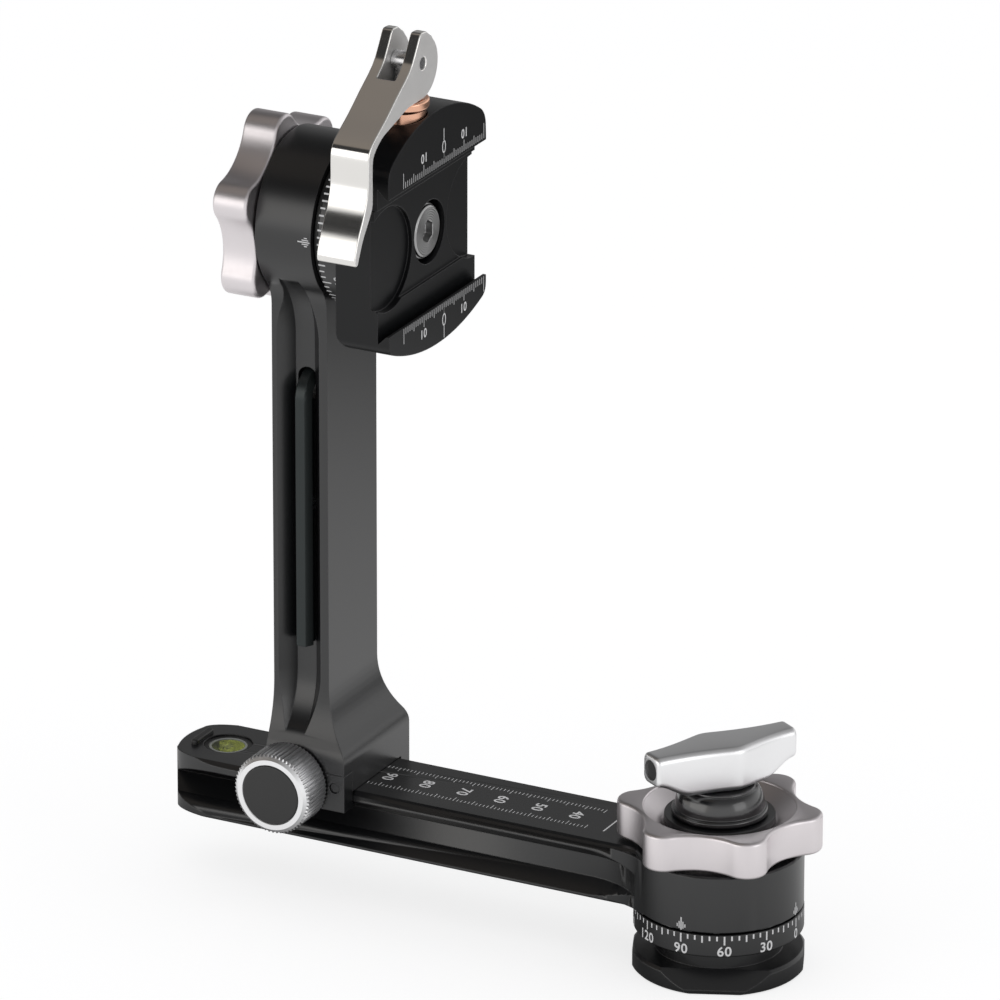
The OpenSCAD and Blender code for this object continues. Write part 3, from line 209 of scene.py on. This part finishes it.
plastic = material("black_plastic", (0.02, 0.02, 0.02), 0.42, 0.0, bump=0.01, bump_size=1500, vary=0.05, tint=0.1)
bronze = material("plain_bronze", (0.62, 0.45, 0.2), 0.35, 1.0, bump=0.003, vary=0.05, tint=0.05)
pad = material("friction_pad", (0.7, 0.68, 0.62), 0.5, 0.0, vary=0.04, tint=0.05)
ink = material("white_engraving", (0.80, 0.80, 0.80), 0.55, 0.0, bump=0.01, bump_size=3000, vary=0.1, tint=0.06)
clear = material("level_lens", (0.9, 0.92, 0.88), 0.06, 0.0, vary=0.02, tint=0.05, alpha=0.05)
frost = material("level_rim", (0.2, 0.21, 0.19), 0.2, 0.0, coat=0.5, vary=0.03, tint=0.1)


def maths(t, op, a, b=None, c=None):
    n = t.node("ShaderNodeMath", operation=op)
    for i, v in enumerate((a, b, c)):
        if isinstance(v, (int, float)):
            n.inputs[i].default_value = v
        elif v is not None:
            t.link(v, n.inputs[i])
    return n.outputs[0]


def step(t, value, low, high):
    n = t.node("ShaderNodeMapRange", interpolation_type="SMOOTHSTEP")
    n.inputs["From Min"].default_value = low * MM
    n.inputs["From Max"].default_value = high * MM
    t.link(value, n.inputs["Value"])
    return n.outputs[0]


def place_from(m, x, y, z):
    """The tree, shader and object coordinates of a material, counted from a point in millimetres."""
    t = Tree(m.node_tree, clear=False)
    shader = next(n for n in m.node_tree.nodes if n.type == "BSDF_PRINCIPLED")
    where = t.node("ShaderNodeTexCoord")
    move = t.node("ShaderNodeMapping")
    move.inputs["Location"].default_value = (-x * MM, -y * MM, -z * MM)
    t.link(where.outputs["Object"], move.inputs["Vector"])
    split = t.node("ShaderNodeSeparateXYZ")
    t.link(move.outputs[0], split.inputs[0])
    return t, shader, [split.outputs[i] for i in range(3)]


def vial():
    """Yellow-green liquid with a weak painted glow, an emission though the liquid is no lamp, and a dark band across
    it, a painted reflection of the bubble.
    """
    # glow is painted light: an emission strength that brightens the liquid though it is no lamp
    wave, swing, glow = 1300.0, 0.22, 0.45
    m = material("level_liquid", (0.72, 0.80, 0.14), 0.3, 0.0, vary=0.03, tint=0.12)
    t, shader, (x, y, _) = place_from(m, LEVEL_X, 0, 0)
    y = maths(t, "MULTIPLY_ADD", maths(t, "SINE", maths(t, "MULTIPLY", x, wave)), swing * MM, y)
    # Painted reflection: a dark band across the liquid where the bubble's reflection falls
    painted_bubble_reflection = maths(t, "MULTIPLY", step(t, y, -1.35, -0.95), step(t, y, 3.1, 2.5))
    dx, dy = maths(t, "SUBTRACT", x, 2.1 * MM), maths(t, "ADD", y, 0.1 * MM)
    near = maths(t, "SQRT", maths(t, "MULTIPLY_ADD", dx, dx, maths(t, "MULTIPLY", dy, dy)))
    painted_bubble_reflection = maths(t, "MULTIPLY", painted_bubble_reflection, step(t, near, 1.25, 1.7))
    # The dark colour of the painted bubble reflection
    mix = t.node("ShaderNodeMix", data_type="RGBA")
    mix.inputs[7].default_value = (0.085, 0.10, 0.045, 1)
    t.link(painted_bubble_reflection, mix.inputs[0])
    t.link(shader.inputs["Base Color"].links[0].from_socket, mix.inputs[6])
    t.link(mix.outputs[2], shader.inputs["Base Color"])
    # Painted glow: the liquid's colour, with its painted band, is also emitted
    t.link(mix.outputs[2], shader.inputs["Emission Color"])
    shader.inputs["Emission Strength"].default_value = glow
    return m


def turned(name, color, rough, x, y, z, axis, pitch=0.55, depth=0.03):
    """Steel with the fine rings that a lathe leaves round an axis through a point."""
    m = material(name, color, rough, 1.0, vary=0.05, tint=0.05)
    t, shader, parts = place_from(m, x, y, z)
    a, b = [c for i, c in enumerate(parts) if i != axis]
    far = maths(t, "SQRT", maths(t, "MULTIPLY_ADD", a, a, maths(t, "MULTIPLY", b, b)))
    wave = maths(t, "SINE", maths(t, "MULTIPLY", far, 2 * math.pi / (pitch * MM)))
    bump = t.node("ShaderNodeBump")
    bump.inputs["Strength"].default_value = 1.0
    bump.inputs["Distance"].default_value = depth * MM
    t.link(wave, bump.inputs["Height"])
    t.link(bump.outputs[0], shader.inputs["Normal"])
    return m


liquid = vial()
head_steel = turned("turned_head", (0.36, 0.36, 0.36), 0.3, 0, 0, TILT_Z, 0)


# Geometry helpers. Sizes are given in millimetres and meshes are made in metres
def add(name, verts, faces, mat, body, replaces=(), smooth=True, sharp=30):
    me = bpy.data.meshes.new(name)
    me.from_pydata([tuple(c * MM for c in v) for v in verts], [], faces)
    bm = bmesh.new()
    bm.from_mesh(me)
    bmesh.ops.remove_doubles(bm, verts=bm.verts, dist=1e-7)
    bmesh.ops.recalc_face_normals(bm, faces=bm.faces)
    bm.to_mesh(me)
    bm.free()
    me.materials.append(mat)
    if smooth:
        for p in me.polygons:
            p.use_smooth = True
        me.set_sharp_from_angle(angle=math.radians(sharp))
    o = bpy.data.objects.new(name, me)
    scene.collection.objects.link(o)
    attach(o, body)
    if replaces:
        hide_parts(*replaces)


skins = []


def dress(node, mat, bevel, angle=28, wide=None, width=0.0, rounds=(), side=None):
    """A skin with rounded edges over a CAD node, from a copy of its mesh. wide picks the edges of a larger radius,
    rounds are its turned surfaces (axis, centre across it, radius), and side is the material of its +X faces."""
    src = nodes[node]
    me = src.data.copy()
    me.name = node + "_skin"
    bm = bmesh.new()
    bm.from_mesh(me)
    bmesh.ops.remove_doubles(bm, verts=bm.verts, dist=2e-6)
    bmesh.ops.dissolve_limit(bm, angle_limit=math.radians(0.5), verts=bm.verts, edges=bm.edges)
    bmesh.ops.recalc_face_normals(bm, faces=bm.faces)
    if wide:
        picked = [e for e in bm.edges if e.calc_face_angle(0) > 0.3 and all(wide(*(v.co / MM)) for v in e.verts)
                  and wide(*((e.verts[0].co + e.verts[1].co) / 2 / MM))]
        bmesh.ops.bevel(bm, geom=picked, offset=width * MM, offset_type="OFFSET", segments=6, profile=0.5,
                        affect="EDGES", clamp_overlap=True)
    bm.to_mesh(me)
    bm.free()
    me.materials.clear()
    me.materials.append(mat)
    for p in me.polygons:
        p.use_smooth = True
    o = bpy.data.objects.new(node + "_skin", me)
    scene.collection.objects.link(o)
    b = o.modifiers.new("edges", "BEVEL")
    b.width = bevel * MM
    b.segments = 3
    b.limit_method = "ANGLE"
    b.angle_limit = math.radians(angle)
    b.use_clamp_overlap = True
    b.miter_outer = "MITER_ARC"
    w = o.modifiers.new("normals", "WEIGHTED_NORMAL")
    w.keep_sharp = True
    w.weight = 90
    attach(o, src["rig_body"])
    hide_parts(node)
    skins.append((o, rounds, side))


def finish_skins():
    """Applies the modifiers, and gives turned surfaces their true normals."""
    bpy.context.view_layer.update()
    deps = bpy.context.evaluated_depsgraph_get()
    for o, rounds, side in skins:
        me = bpy.data.meshes.new_from_object(o.evaluated_get(deps))
        made = [c.vector.copy() for c in me.corner_normals]
        for p in me.polygons:
            for i in p.loop_indices:
                co = me.vertices[me.loops[i].vertex_index].co / MM
                for axis, a, b, r in rounds:
                    d = Vector((co.x - a, co.y - b, 0)) if axis == "z" else Vector((0, co.y - a, co.z - b))
                    if abs(d.length - r) < 0.03:
                        d.normalize()
                        if abs(p.normal.dot(d)) > 0.985:
                            made[i] = d if p.normal.dot(d) > 0 else -d
        if side:
            me.materials.append(side)
            for p in me.polygons:
                if p.normal.x > 0.9:
                    p.material_index = 1
        me.normals_split_custom_set(made)
        o.modifiers.clear()
        old = o.data
        o.data = me
        bpy.data.meshes.remove(old)
        me.name = o.name


def loft(loops, close=False, start_cap=False, end_cap=False):
    """Vertices and faces through loops of equal length."""
    n = len(loops[0])
    verts = [p for loop in loops for p in loop]
    faces = []
    rows = len(loops)
    for i in range(rows if close else rows - 1):
        a, b = i * n, ((i + 1) % rows) * n
        faces += [(a + k, a + (k + 1) % n, b + (k + 1) % n, b + k) for k in range(n)]
    if start_cap:
        faces.append(tuple(reversed(range(n))))
    if end_cap:
        faces.append(tuple(range((rows - 1) * n, rows * n)))
    return verts, faces


def arc(cx, cy, r, a0, a1, n):
    return [(cx + r * math.cos(math.radians(a0 + (a1 - a0) * i / n)),
             cy + r * math.sin(math.radians(a0 + (a1 - a0) * i / n))) for i in range(n + 1)]


def normals(points):
    """Outward unit normals of a closed outline that runs counter-clockwise."""
    out = []
    n = len(points)
    for i in range(n):
        ax, ay = points[i - 1]
        bx, by = points[(i + 1) % n]
        d = math.hypot(bx - ax, by - ay)
        out.append(((by - ay) / d, -(bx - ax) / d))
    return out


def inset(points, norms, d):
    return [(x - nx * d, y - ny * d) for (x, y), (nx, ny) in zip(points, norms)]


def star_outline(n=14):
    """Six round lobes with a hollow between each two, where their arcs run into each other."""
    lobe_at, lobe_r, lobe_end = 19.5, 5, 60.8
    hollow_x, hollow_y, hollow_r = 28.78, 16.6, 14.03
    lobe = arc(lobe_at, 0, lobe_r, -lobe_end, lobe_end, n)
    hollow = arc(hollow_x, hollow_y, hollow_r, 180 + lobe_end, 240 - lobe_end, n)[1:-1]
    pts = []
    for k in range(6):
        a = math.radians(60 * k)
        pts += [(x * math.cos(a) - y * math.sin(a), x * math.sin(a) + y * math.cos(a)) for x, y in lobe + hollow]
    return pts


def flat(points, z):
    return [(x, y, z) for x, y in points]


def circle_like(points, r):
    return [(r * x / math.hypot(x, y), r * y / math.hypot(x, y)) for x, y in points]


def star_shape(h, boss, bore, bowl, floor_r, depth, edge=0.9, rim=0.5):
    """Loops of a star knob of height h, from its boss (radius and z) up over the rounded rim and down the bowl
    of so much depth to its bore."""
    out = star_outline()
    nm = normals(out)
    loops = [flat(circle_like(out, bore), boss[1]), flat(circle_like(out, boss[0]), boss[1]),
             flat(circle_like(out, boss[0]), 0)]
    steps = 5
    for i in range(steps + 1):
        a = math.radians(90 * i / steps)
        loops.append(flat(inset(out, nm, edge * (1 - math.sin(a))), edge * (1 - math.cos(a))))
    for i in range(steps + 1):
        a = math.radians(90 * i / steps)
        loops.append(flat(inset(out, nm, edge * (1 - math.cos(a))), h - edge * (1 - math.sin(a))))
    for i in range(4):
        a = math.radians(90 * i / 3)
        loops.append(flat(circle_like(out, bowl + rim * (1 - math.sin(a))), h - rim * (1 - math.cos(a))))
    loops.append(flat(circle_like(out, floor_r + 0.2), h - depth + 0.2))
    loops.append(flat(circle_like(out, floor_r - 0.2), h - depth))
    loops.append(flat(circle_like(out, bore), h - depth))
    return loft(loops, close=True)


def moved(verts, m):
    return [tuple(m @ Vector(v)) for v in verts]


STAR_H = 9.2

# Pan star knob
v, f = star_shape(STAR_H, (15.1, -1.1), 9.1, 17.9, 13.6, 3.7)
add("pan_star_skin", moved(v, Matrix.Translation((0, 0, 30.8)) @ Matrix.Rotation(math.radians(14.7), 4, "Z")), f,
    satin, "pan_lock", ["pan_star_knob"])

# Tilt star knob, facing -X
v, f = star_shape(STAR_H, (18, 0), 4.1, 17.4, 13.6, 1.5)
m = Matrix.Translation((-112.45, 0, TILT_Z)) @ Matrix(((0, 0, -1, 0), (1, 0, 0, 0), (0, 1, 0, 0), (0, 0, 0, 1))) \
    @ Matrix.Rotation(math.radians(40.5), 4, "Z")
add("tilt_star_skin", moved(v, m), f, satin, "tilt_lock", ["tilt_star_knob"])


# Wing knob: rounded sections along its length, with a belly below and a round hole in each end
WING_END, WING_TOP, WING_BOTTOM = 19.1, 56.5, 49.1
WING_HOLE_Z, WING_HOLE_R = 52.8, 2.5
SECTION_POINTS = 28


def wing_half(t):
    """Half the wing's width at a share of its length: narrow ends and a softly pointed middle."""
    lean, soft, end_half, rise, power = 0.09, 0.006, 3.5, 3.3, 1.8
    t += lean * (1 - t * t)
    r = (math.sqrt(t * t + soft) - math.sqrt(soft)) / (math.sqrt(1 + soft) - math.sqrt(soft))
    return end_half + rise * max(0, 1 - r) ** power


def wing_section(x, shrink=0.0):
    t = max(-1, min(1, x / WING_END))
    belly = 1.8 * (1 + math.cos(math.pi * min(1, max(0, (abs(t) - 0.5) / 0.5))))
    low, high = WING_BOTTOM - belly + shrink, WING_TOP - shrink
    left, right = wing_half(t) - shrink, -wing_half(-t) + shrink
    r = 1.7 - shrink * 0.5
    pts = []
    for cy, cz, a0 in ((left - r, high - r, 0), (right + r, high - r, 90),
                       (right + r, low + r, 180), (left - r, low + r, 270)):
        pts += arc(cy, cz, r, a0, a0 + 90, SECTION_POINTS // 4 - 1)
    return [(x, y, z) for y, z in pts]


def wing():
    edge = 0.8
    ends = [(WING_END - edge * (1 - math.cos(math.radians(a))), edge * (1 - math.sin(math.radians(a))))
            for a in (0, 22, 45, 68, 90)]
    rows = [(-x, d) for x, d in ends] + [((WING_END - edge) * i / 30, 0) for i in range(-29, 30)]
    rows += [(x, d) for x, d in reversed(ends)]
    loops = [wing_section(x, d) for x, d in rows]
    angles = [math.radians(360 * (i + 0.5) / SECTION_POINTS) for i in range(SECTION_POINTS)]
    holes = [[[(x, WING_HOLE_R * math.cos(a), WING_HOLE_Z + WING_HOLE_R * math.sin(a)) for a in angles]
              for x in (k * WING_END, k * (WING_END - 0.6))] for k in (-1, 1)]
    return loft([holes[0][1], holes[0][0]] + loops + [holes[1][0], holes[1][1]], start_cap=True, end_cap=True)


v, f = wing()
add("wing_skin", moved(v, Matrix.Rotation(math.radians(58), 4, "Z")), f, silver, "wing_lock", ["wing_knob"], sharp=50)


# Slide knob: straight knurls that run out on a wide bevel
def knurled(count=60, tip=10.0, root=9.5, cap=7.45):
    """The slide knob between its CAD node's two faces. Each row is a place along it and its largest radius."""
    low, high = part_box("slide_knob")
    back, front = high[1] / MM, low[1] / MM
    rows = [(back, 9.5), (back - 0.3, 9.9), (back - 0.7, 10.4), (front + 1.4, 10.4), (front + 1.06, 10.0),
            (front + 0.63, 9.5), (front + 0.2, 9.0), (front, 8.8), (front, cap + 0.15), (front + 0.15, cap),
            (front + 0.8, cap)]
    loops = []
    for y, limit in rows:
        loop = []
        for k in range(count):
            for share, r in ((0.0, tip), (0.22, tip), (0.5, root), (0.72, root)):
                a = 2 * math.pi * (k + share) / count
                r = min(r, limit)
                loop.append((KNOB_X + r * math.cos(a), y, KNOB_Z + r * math.sin(a)))
        loops.append(loop)
    return loft(loops, start_cap=True, end_cap=True)


v, f = knurled()
add("slide_knob_skin", v, f, silver, "slide_knob", ["slide_knob"], sharp=22)


# Skins over the CAD nodes, with rounded edges
dress("dovetail_base", black, 0.35, rounds=[("z", 0, 0, 20.6), ("z", 0, 0, 15.2)])
dress("pan_degree_ring", black, 0.12, rounds=[("z", 0, 0, PAN_RING_R)])
dress("lower_arm", black, 0.35, rounds=[("z", 0, 0, HUB_R)], wide=lambda x, y, z: x < -127 and z > 29.85, width=0.7)
dress("spindle_collar", black, 0.2)
dress("centre_hub", glossy_black, 0.2, angle=40)
dress("wing_inserts", plastic, 0.1)
dress("level_housing", plastic, 0.15)
dress("end_stop", plastic, 0.5)
dress("upright_arm", black, 0.5, rounds=[("x", 0, TILT_Z, HUB_R)])
dress("hex_key", oxide, 0.15)
dress("slide_jaw", black, 0.3)
dress("slide_washer", plastic, 0.1)
dress("slide_knob_cap", plastic, 0.15)
dress("tilt_friction_washer", plastic, 0.15)
dress("tilt_degree_ring", black, 0.15, rounds=[("x", 0, TILT_Z, HUB_R)])
dress("tilt_bolt", head_steel, 0.2)
dress("tilt_head_washer", head_steel, 0.15)
dress("tilt_knob_cap", gloss, 0.3)
dress("clamp_body", deep, 0.3, wide=lambda x, y, z: x > -72.95 and z < 152.7, width=1.3)
dress("moving_jaw", deep, 0.3, wide=lambda x, y, z: x > -72.95 and z > 187.2, width=2.4)
dress("drawbar", steel, 0.2)
dress("pressure_washer", copper, 0.25)
dress("clamp_lever", stainless, 0.35, side=brushed)
dress("lever_pin", steel, 0.1)
finish_skins()
for name, mat in (("base_screws", oxide), ("pan_spindle", steel), ("thrust_washer", bronze), ("friction_disc", pad),
                  ("centre_bolt", steel), ("tilt_bush", bronze), ("key_magnet", steel), ("slide_jaw_pins", black),
                  ("slide_screw", steel), ("jaw_guide_pins", steel), ("jaw_springs", steel),
                  ("level_fluid", liquid), ("level_lens", clear)):
    nodes[name].data.materials.clear()
    nodes[name].data.materials.append(mat)


# Bubble and circle of the level
def circle(cx, cy, z, r, n):
    return [(cx + r * math.cos(2 * math.pi * k / n), cy + r * math.sin(2 * math.pi * k / n), z) for k in range(n)]


def dome(cx, cy, cz, r, height, n=28, rows=6):
    angles = [math.radians(90 * i / rows) for i in range(rows)]
    loops = [circle(cx, cy, cz + height * math.sin(a), r * math.cos(a), n) for a in angles]
    return loft(loops, start_cap=True, end_cap=True)


v, f = dome(LEVEL_X - 0.2, 0.3, 28.9, 2.2, 0.25)
add("level_bubble_skin", v, f, clear, "arm")
v, f = loft([circle(LEVEL_X, 0, z, r, 48) for r, z in ((4.0, 29.2), (4.05, 29.42), (4.6, 29.42), (4.68, 29.3))])
add("level_rim", v, f, frost, "arm")


# Engraved marks: thin white sheets just proud of their surface
def glyphs(text, height, bold=0.018):
    c = bpy.data.curves.new("digits", "FONT")
    c.body = text
    c.size = 1
    c.offset = bold
    c.resolution_u = 4
    c.space_character = 1.08
    o = bpy.data.objects.new("digits", c)
    scene.collection.objects.link(o)
    bpy.context.view_layer.update()
    me = bpy.data.meshes.new_from_object(o.evaluated_get(bpy.context.evaluated_depsgraph_get()))
    pts = [(v.co.x, v.co.y) for v in me.vertices]
    faces = [tuple(p.vertices) for p in me.polygons]
    bpy.data.objects.remove(o)
    x0, x1 = min(p[0] for p in pts), max(p[0] for p in pts)
    y0, y1 = min(p[1] for p in pts), max(p[1] for p in pts)
    k = height / (y1 - y0)
    return [((x - (x0 + x1) / 2) * k, (y - (y0 + y1) / 2) * k) for x, y in pts], faces


def bar(u, v0, v1, width=0.24):
    """A tick at u from v0 to v1."""
    w = width / 2
    return [(u - w, v0), (u + w, v0), (u - w, v1), (u + w, v1)], [(0, 1, 3, 2)]


def ring_mark(rx, ry, width, n=28):
    """An oval outline, as an engraved zero."""
    pts = []
    for i in range(n):
        a = 2 * math.pi * i / n
        pts += [((rx - width / 2) * math.cos(a), (ry - width / 2) * math.sin(a)),
                ((rx + width / 2) * math.cos(a), (ry + width / 2) * math.sin(a))]
    return pts, [(2 * i, 2 * i + 1, (2 * i + 3) % (2 * n), (2 * i + 2) % (2 * n)) for i in range(n)]


def shifted(shape, u, v, flip=False):
    pts, faces = shape
    k = -1 if flip else 1
    return [(k * x + u, k * y + v) for x, y in pts], faces


def stamp(name, shapes, surface, body):
    verts, faces = [], []
    for pts, fs in shapes:
        base = len(verts)
        verts += [surface(u, v) for u, v in pts]
        faces += [tuple(base + i for i in f) for f in fs]
    add(name, verts, faces, ink, body, smooth=False)


PROUD = 0.025


def around_pan(r):
    """A surface round the pan axis: u runs round it and v is its height."""
    return lambda u, v: ((r + PROUD) * math.cos(u / r), (r + PROUD) * math.sin(u / r), v)


def around_tilt(u, v):
    """The surface round the tilt axis: u runs round it, and v towards -X from the edge of the degree ring."""
    r = HUB_R + PROUD
    return TILT_RING_X - v, -r * math.cos(u / HUB_R), TILT_Z + r * math.sin(u / HUB_R)


def index_mark(u, v):
    """A long line between two pairs of short ones."""
    short = ((-1, 0.7, 1.5), (-0.5, 0.35, 2.1), (0.5, 0.35, 2.1), (1, 0.7, 1.5))
    return [bar(u, v, v + 3.2, 0.3)] + [bar(u + d, v + a, v + b, 0.26) for d, a, b in short]


# Pan ring: every 5 degrees, longer at 15 and 30, with the numbers under the ticks
shapes = []
for d in range(0, 360, 5):
    long = 2.2 if d % 30 == 0 else 1.7 if d % 15 == 0 else 1.15
    u = math.radians(-d) * PAN_RING_R
    shapes.append(bar(u, 15.1 - long, 15.1, 0.4))
    if d % 30 == 0:
        shapes.append(shifted(glyphs(str(d), 2.5), u, 11.3))
stamp("pan_ring_marks", shapes, around_pan(PAN_RING_R), "base")
for i, a in enumerate((-90, 0)):
    stamp("pan_index_%d" % i, index_mark(math.radians(a) * HUB_R, 15.9), around_pan(HUB_R), "arm")

# Tilt ring: the ticks start at its edge beside the hub
shapes = []
for d in range(0, 360, 5):
    long = 2.4 if d % 30 == 0 else 1.9 if d % 15 == 0 else 1.4
    u = math.radians(d) * HUB_R
    shapes.append(bar(u, -long, -0.15, 0.42))
    if d % 30 == 0:
        shapes.append(shifted(glyphs(str(d), 2.3), u, -4.6))
stamp("tilt_ring_marks", shapes, around_tilt, "clamp")
stamp("tilt_index", index_mark(0, 1.8), around_tilt, "upright")

# Lower arm: a millimetre scale on both sides of its numbers, and one plain line by the knob
shapes = []
for n in range(35, 95):
    inner = 4.0 if n % 5 == 0 else 4.8
    x = -n + SCALE_SHIFT
    shapes += [bar(x, -6, -inner, 0.16), bar(x, inner, 6, 0.16)]
shapes.append(bar(-27.6, -5.8, 2.2, 0.4))
stamp("arm_scale", shapes, lambda u, v: (u, v, RAIL_TOP + PROUD), "arm")
stamp("arm_numbers", [shifted(glyphs(str(n), 3.0), 0, -n + SCALE_SHIFT) for n in range(40, 100, 10)],
      lambda u, v: (v, -u, RAIL_TOP + PROUD), "arm")

# Camera clamp: 20 to 0 to 20 on each lip, the upper one read from above
for name, body, edge, k in (("lower_lip_scale", "clamp", 152.9, -1), ("upper_lip_scale", "jaw", 187.0, 1)):
    shapes = []
    for n in range(-20, 21):
        long = 3.9 if abs(n) == 20 else 2.9 if n % 10 == 0 else 2.3 if n % 5 == 0 else 1.6
        shapes.append(bar(n, 0.12 * k, long * k, 0.2))
    shapes += [bar(0, 1.2 * k, 2.6 * k, 0.28), bar(0, 5.7 * k, 8.8 * k, 0.28)]
    shapes.append(shifted(ring_mark(0.72, 1.4, 0.36), 0, 4.3 * k))
    for n in (-10, 10):
        shapes.append(shifted(glyphs("10", 2.3), n, 4.5 * k, flip=k > 0))
    stamp(name, shapes, lambda u, v, e=edge: (CLAMP_FACE_X + PROUD, u, e + v), body)


def ramp(t, value, stops):
    n = t.node("ShaderNodeValToRGB")
    e = n.color_ramp.elements
    for i, (pos, c) in enumerate(stops):
        x = e[i] if i < 2 else e.new(pos)
        x.position = pos
        x.color = (*(c if isinstance(c, tuple) else (c, c, c)), 1)
    t.link(value, n.inputs[0])
    return n.outputs[0]


def by_ray(t, plain, mirrored, seen, out):
    """Joins what lights the object, what shows in its shiny faces and what the camera sees."""
    ray = t.node("ShaderNodeLightPath")
    glossy = t.node("ShaderNodeMixShader")
    t.link(maths(t, "MAXIMUM", ray.outputs["Is Glossy Ray"], ray.outputs["Is Transmission Ray"]), glossy.inputs[0])
    t.link(plain.outputs[0], glossy.inputs[1])
    t.link(mirrored.outputs[0], glossy.inputs[2])
    mix = t.node("ShaderNodeMixShader")
    t.link(ray.outputs["Is Camera Ray"], mix.inputs[0])
    t.link(glossy.outputs[0], mix.inputs[1])
    t.link(seen.outputs[0], mix.inputs[2])
    t.link(mix.outputs[0], out.inputs[0])


def parts_of(t, output):
    where = t.node("ShaderNodeTexCoord")
    split = t.node("ShaderNodeSeparateXYZ")
    t.link(where.outputs[output], split.inputs[0])
    return [split.outputs[i] for i in range(3)]


# Light: a plain surround, which polished metal mirrors as a pale wall, a dark gap and a grey-brown ceiling
def surround():
    w = bpy.data.worlds.new("studio")
    scene.world = w
    w.use_nodes = True
    t = Tree(w.node_tree)
    out = t.node("ShaderNodeOutputWorld")
    seen = t.node("ShaderNodeBackground", Color=(1, 1, 1, 1))
    plain = t.node("ShaderNodeBackground", Color=(0.62, 0.62, 0.63, 1))
    mirrored = t.node("ShaderNodeBackground", Strength=1.12)
    x, y, z = parts_of(t, "Generated")
    rise = maths(t, "ARCTAN2", z, maths(t, "MULTIPLY", y, -1.0))
    rise = maths(t, "MULTIPLY_ADD", rise, 1 / (2 * math.pi), 0.5)
    wall, gap, ceiling = (1, 0.97, 0.93), 0.03, (0.22, 0.195, 0.17)
    ahead = ramp(t, rise, [((d + 180) / 360, c) for d, c in (
        (-180, 0.5), (180, 0.25), (-30, 0.8), (-5, 0.95), (5, wall), (27, wall), (30, gap), (57, gap), (61, ceiling),
        (100, (0.2, 0.18, 0.163)), (108, 0.05), (138, 0.1), (152, 0.26))])
    beside = ramp(t, maths(t, "MULTIPLY_ADD", z, 0.5, 0.5),
                  [(0.0, 0.8), (1.0, 0.25), (0.5, 0.9), (0.66, 0.85), (0.85, 0.35)])
    share = t.node("ShaderNodeMapRange", interpolation_type="SMOOTHSTEP")
    share.inputs["From Min"].default_value = -0.25
    share.inputs["From Max"].default_value = 0.2
    t.link(x, share.inputs["Value"])
    both = t.node("ShaderNodeMix", data_type="RGBA")
    t.link(share.outputs[0], both.inputs[0])
    t.link(ahead, both.inputs[6])
    t.link(beside, both.inputs[7])
    t.link(both.outputs[2], mirrored.inputs["Color"])
    by_ray(t, plain, mirrored, seen, out)


def lamp(name, place, width, depth, power):
    d = bpy.data.lights.new(name, "AREA")
    d.energy = power
    d.shape = "RECTANGLE"
    d.size = width
    d.size_y = depth
    o = bpy.data.objects.new(name, d)
    scene.collection.objects.link(o)
    o.location = place
    o.rotation_mode = "QUATERNION"
    aim = Vector((-0.06, 0, 0.1))
    o.rotation_quaternion = (aim - Vector(place)).to_track_quat("-Z", "Y")


def pale_floor():
    """A floor that the camera sees as white with a soft shadow. Shiny faces see it dark under the part, a painted
    shadow, and darkening far behind it."""
    me = bpy.data.meshes.new("floor")
    s, z = 3.0, -0.0002
    me.from_pydata([(-s, -s, z), (s, -s, z), (s, s, z), (-s, s, z)], [], [(0, 1, 2, 3)])
    floor = bpy.data.objects.new("floor", me)
    scene.collection.objects.link(floor)
    fm = bpy.data.materials.new("pale_floor")
    fm.use_nodes = True
    t = Tree(fm.node_tree)
    out = t.node("ShaderNodeOutputMaterial")
    plain = t.node("ShaderNodeBsdfDiffuse", Color=(0.82, 0.82, 0.82, 1))
    soft = t.node("ShaderNodeBsdfDiffuse", Color=(0.4, 0.4, 0.4, 1))
    glow = t.node("ShaderNodeEmission", Strength=0.74)
    seen = t.node("ShaderNodeAddShader")
    t.link(soft.outputs[0], seen.inputs[0])
    t.link(glow.outputs[0], seen.inputs[1])
    mirrored = t.node("ShaderNodeEmission")
    x, y, _ = parts_of(t, "Object")
    arm_end = -0.14
    x = maths(t, "SUBTRACT", x, maths(t, "MINIMUM", 0.0, maths(t, "MAXIMUM", arm_end, x)))
    near = maths(t, "SQRT", maths(t, "MULTIPLY_ADD", x, x, maths(t, "MULTIPLY", y, y)))
    # Painted shadow: in reflections the floor goes dark within 90 mm of the arm and the pan axis, standing in for the
    # part's shadow
    under = ramp(t, near, [(0.0, 0.1), (1.0, 1.0), (0.018, 0.12), (0.05, 0.75), (0.09, 1.0)])
    behind = ramp(t, y, [(0.0, 0.95), (1.0, 0.15), (0.1, 0.95), (0.23, 0.8), (0.3, 0.6), (0.345, 0.28), (0.4, 0.15)])
    pale = t.node("ShaderNodeMix", data_type="RGBA", blend_type="MULTIPLY")
    pale.inputs[0].default_value = 1.0
    t.link(under, pale.inputs[6])
    t.link(behind, pale.inputs[7])
    t.link(pale.outputs[2], mirrored.inputs["Color"])
    by_ray(t, plain, mirrored, seen, out)
    me.materials.append(fm)


surround()
lamp("key", (-0.9, -1.3, 0.45), 1.4, 1.0, 3.0)
lamp("side", (1.3, -0.2, 0.5), 0.8, 0.8, 2.0)
pale_floor()
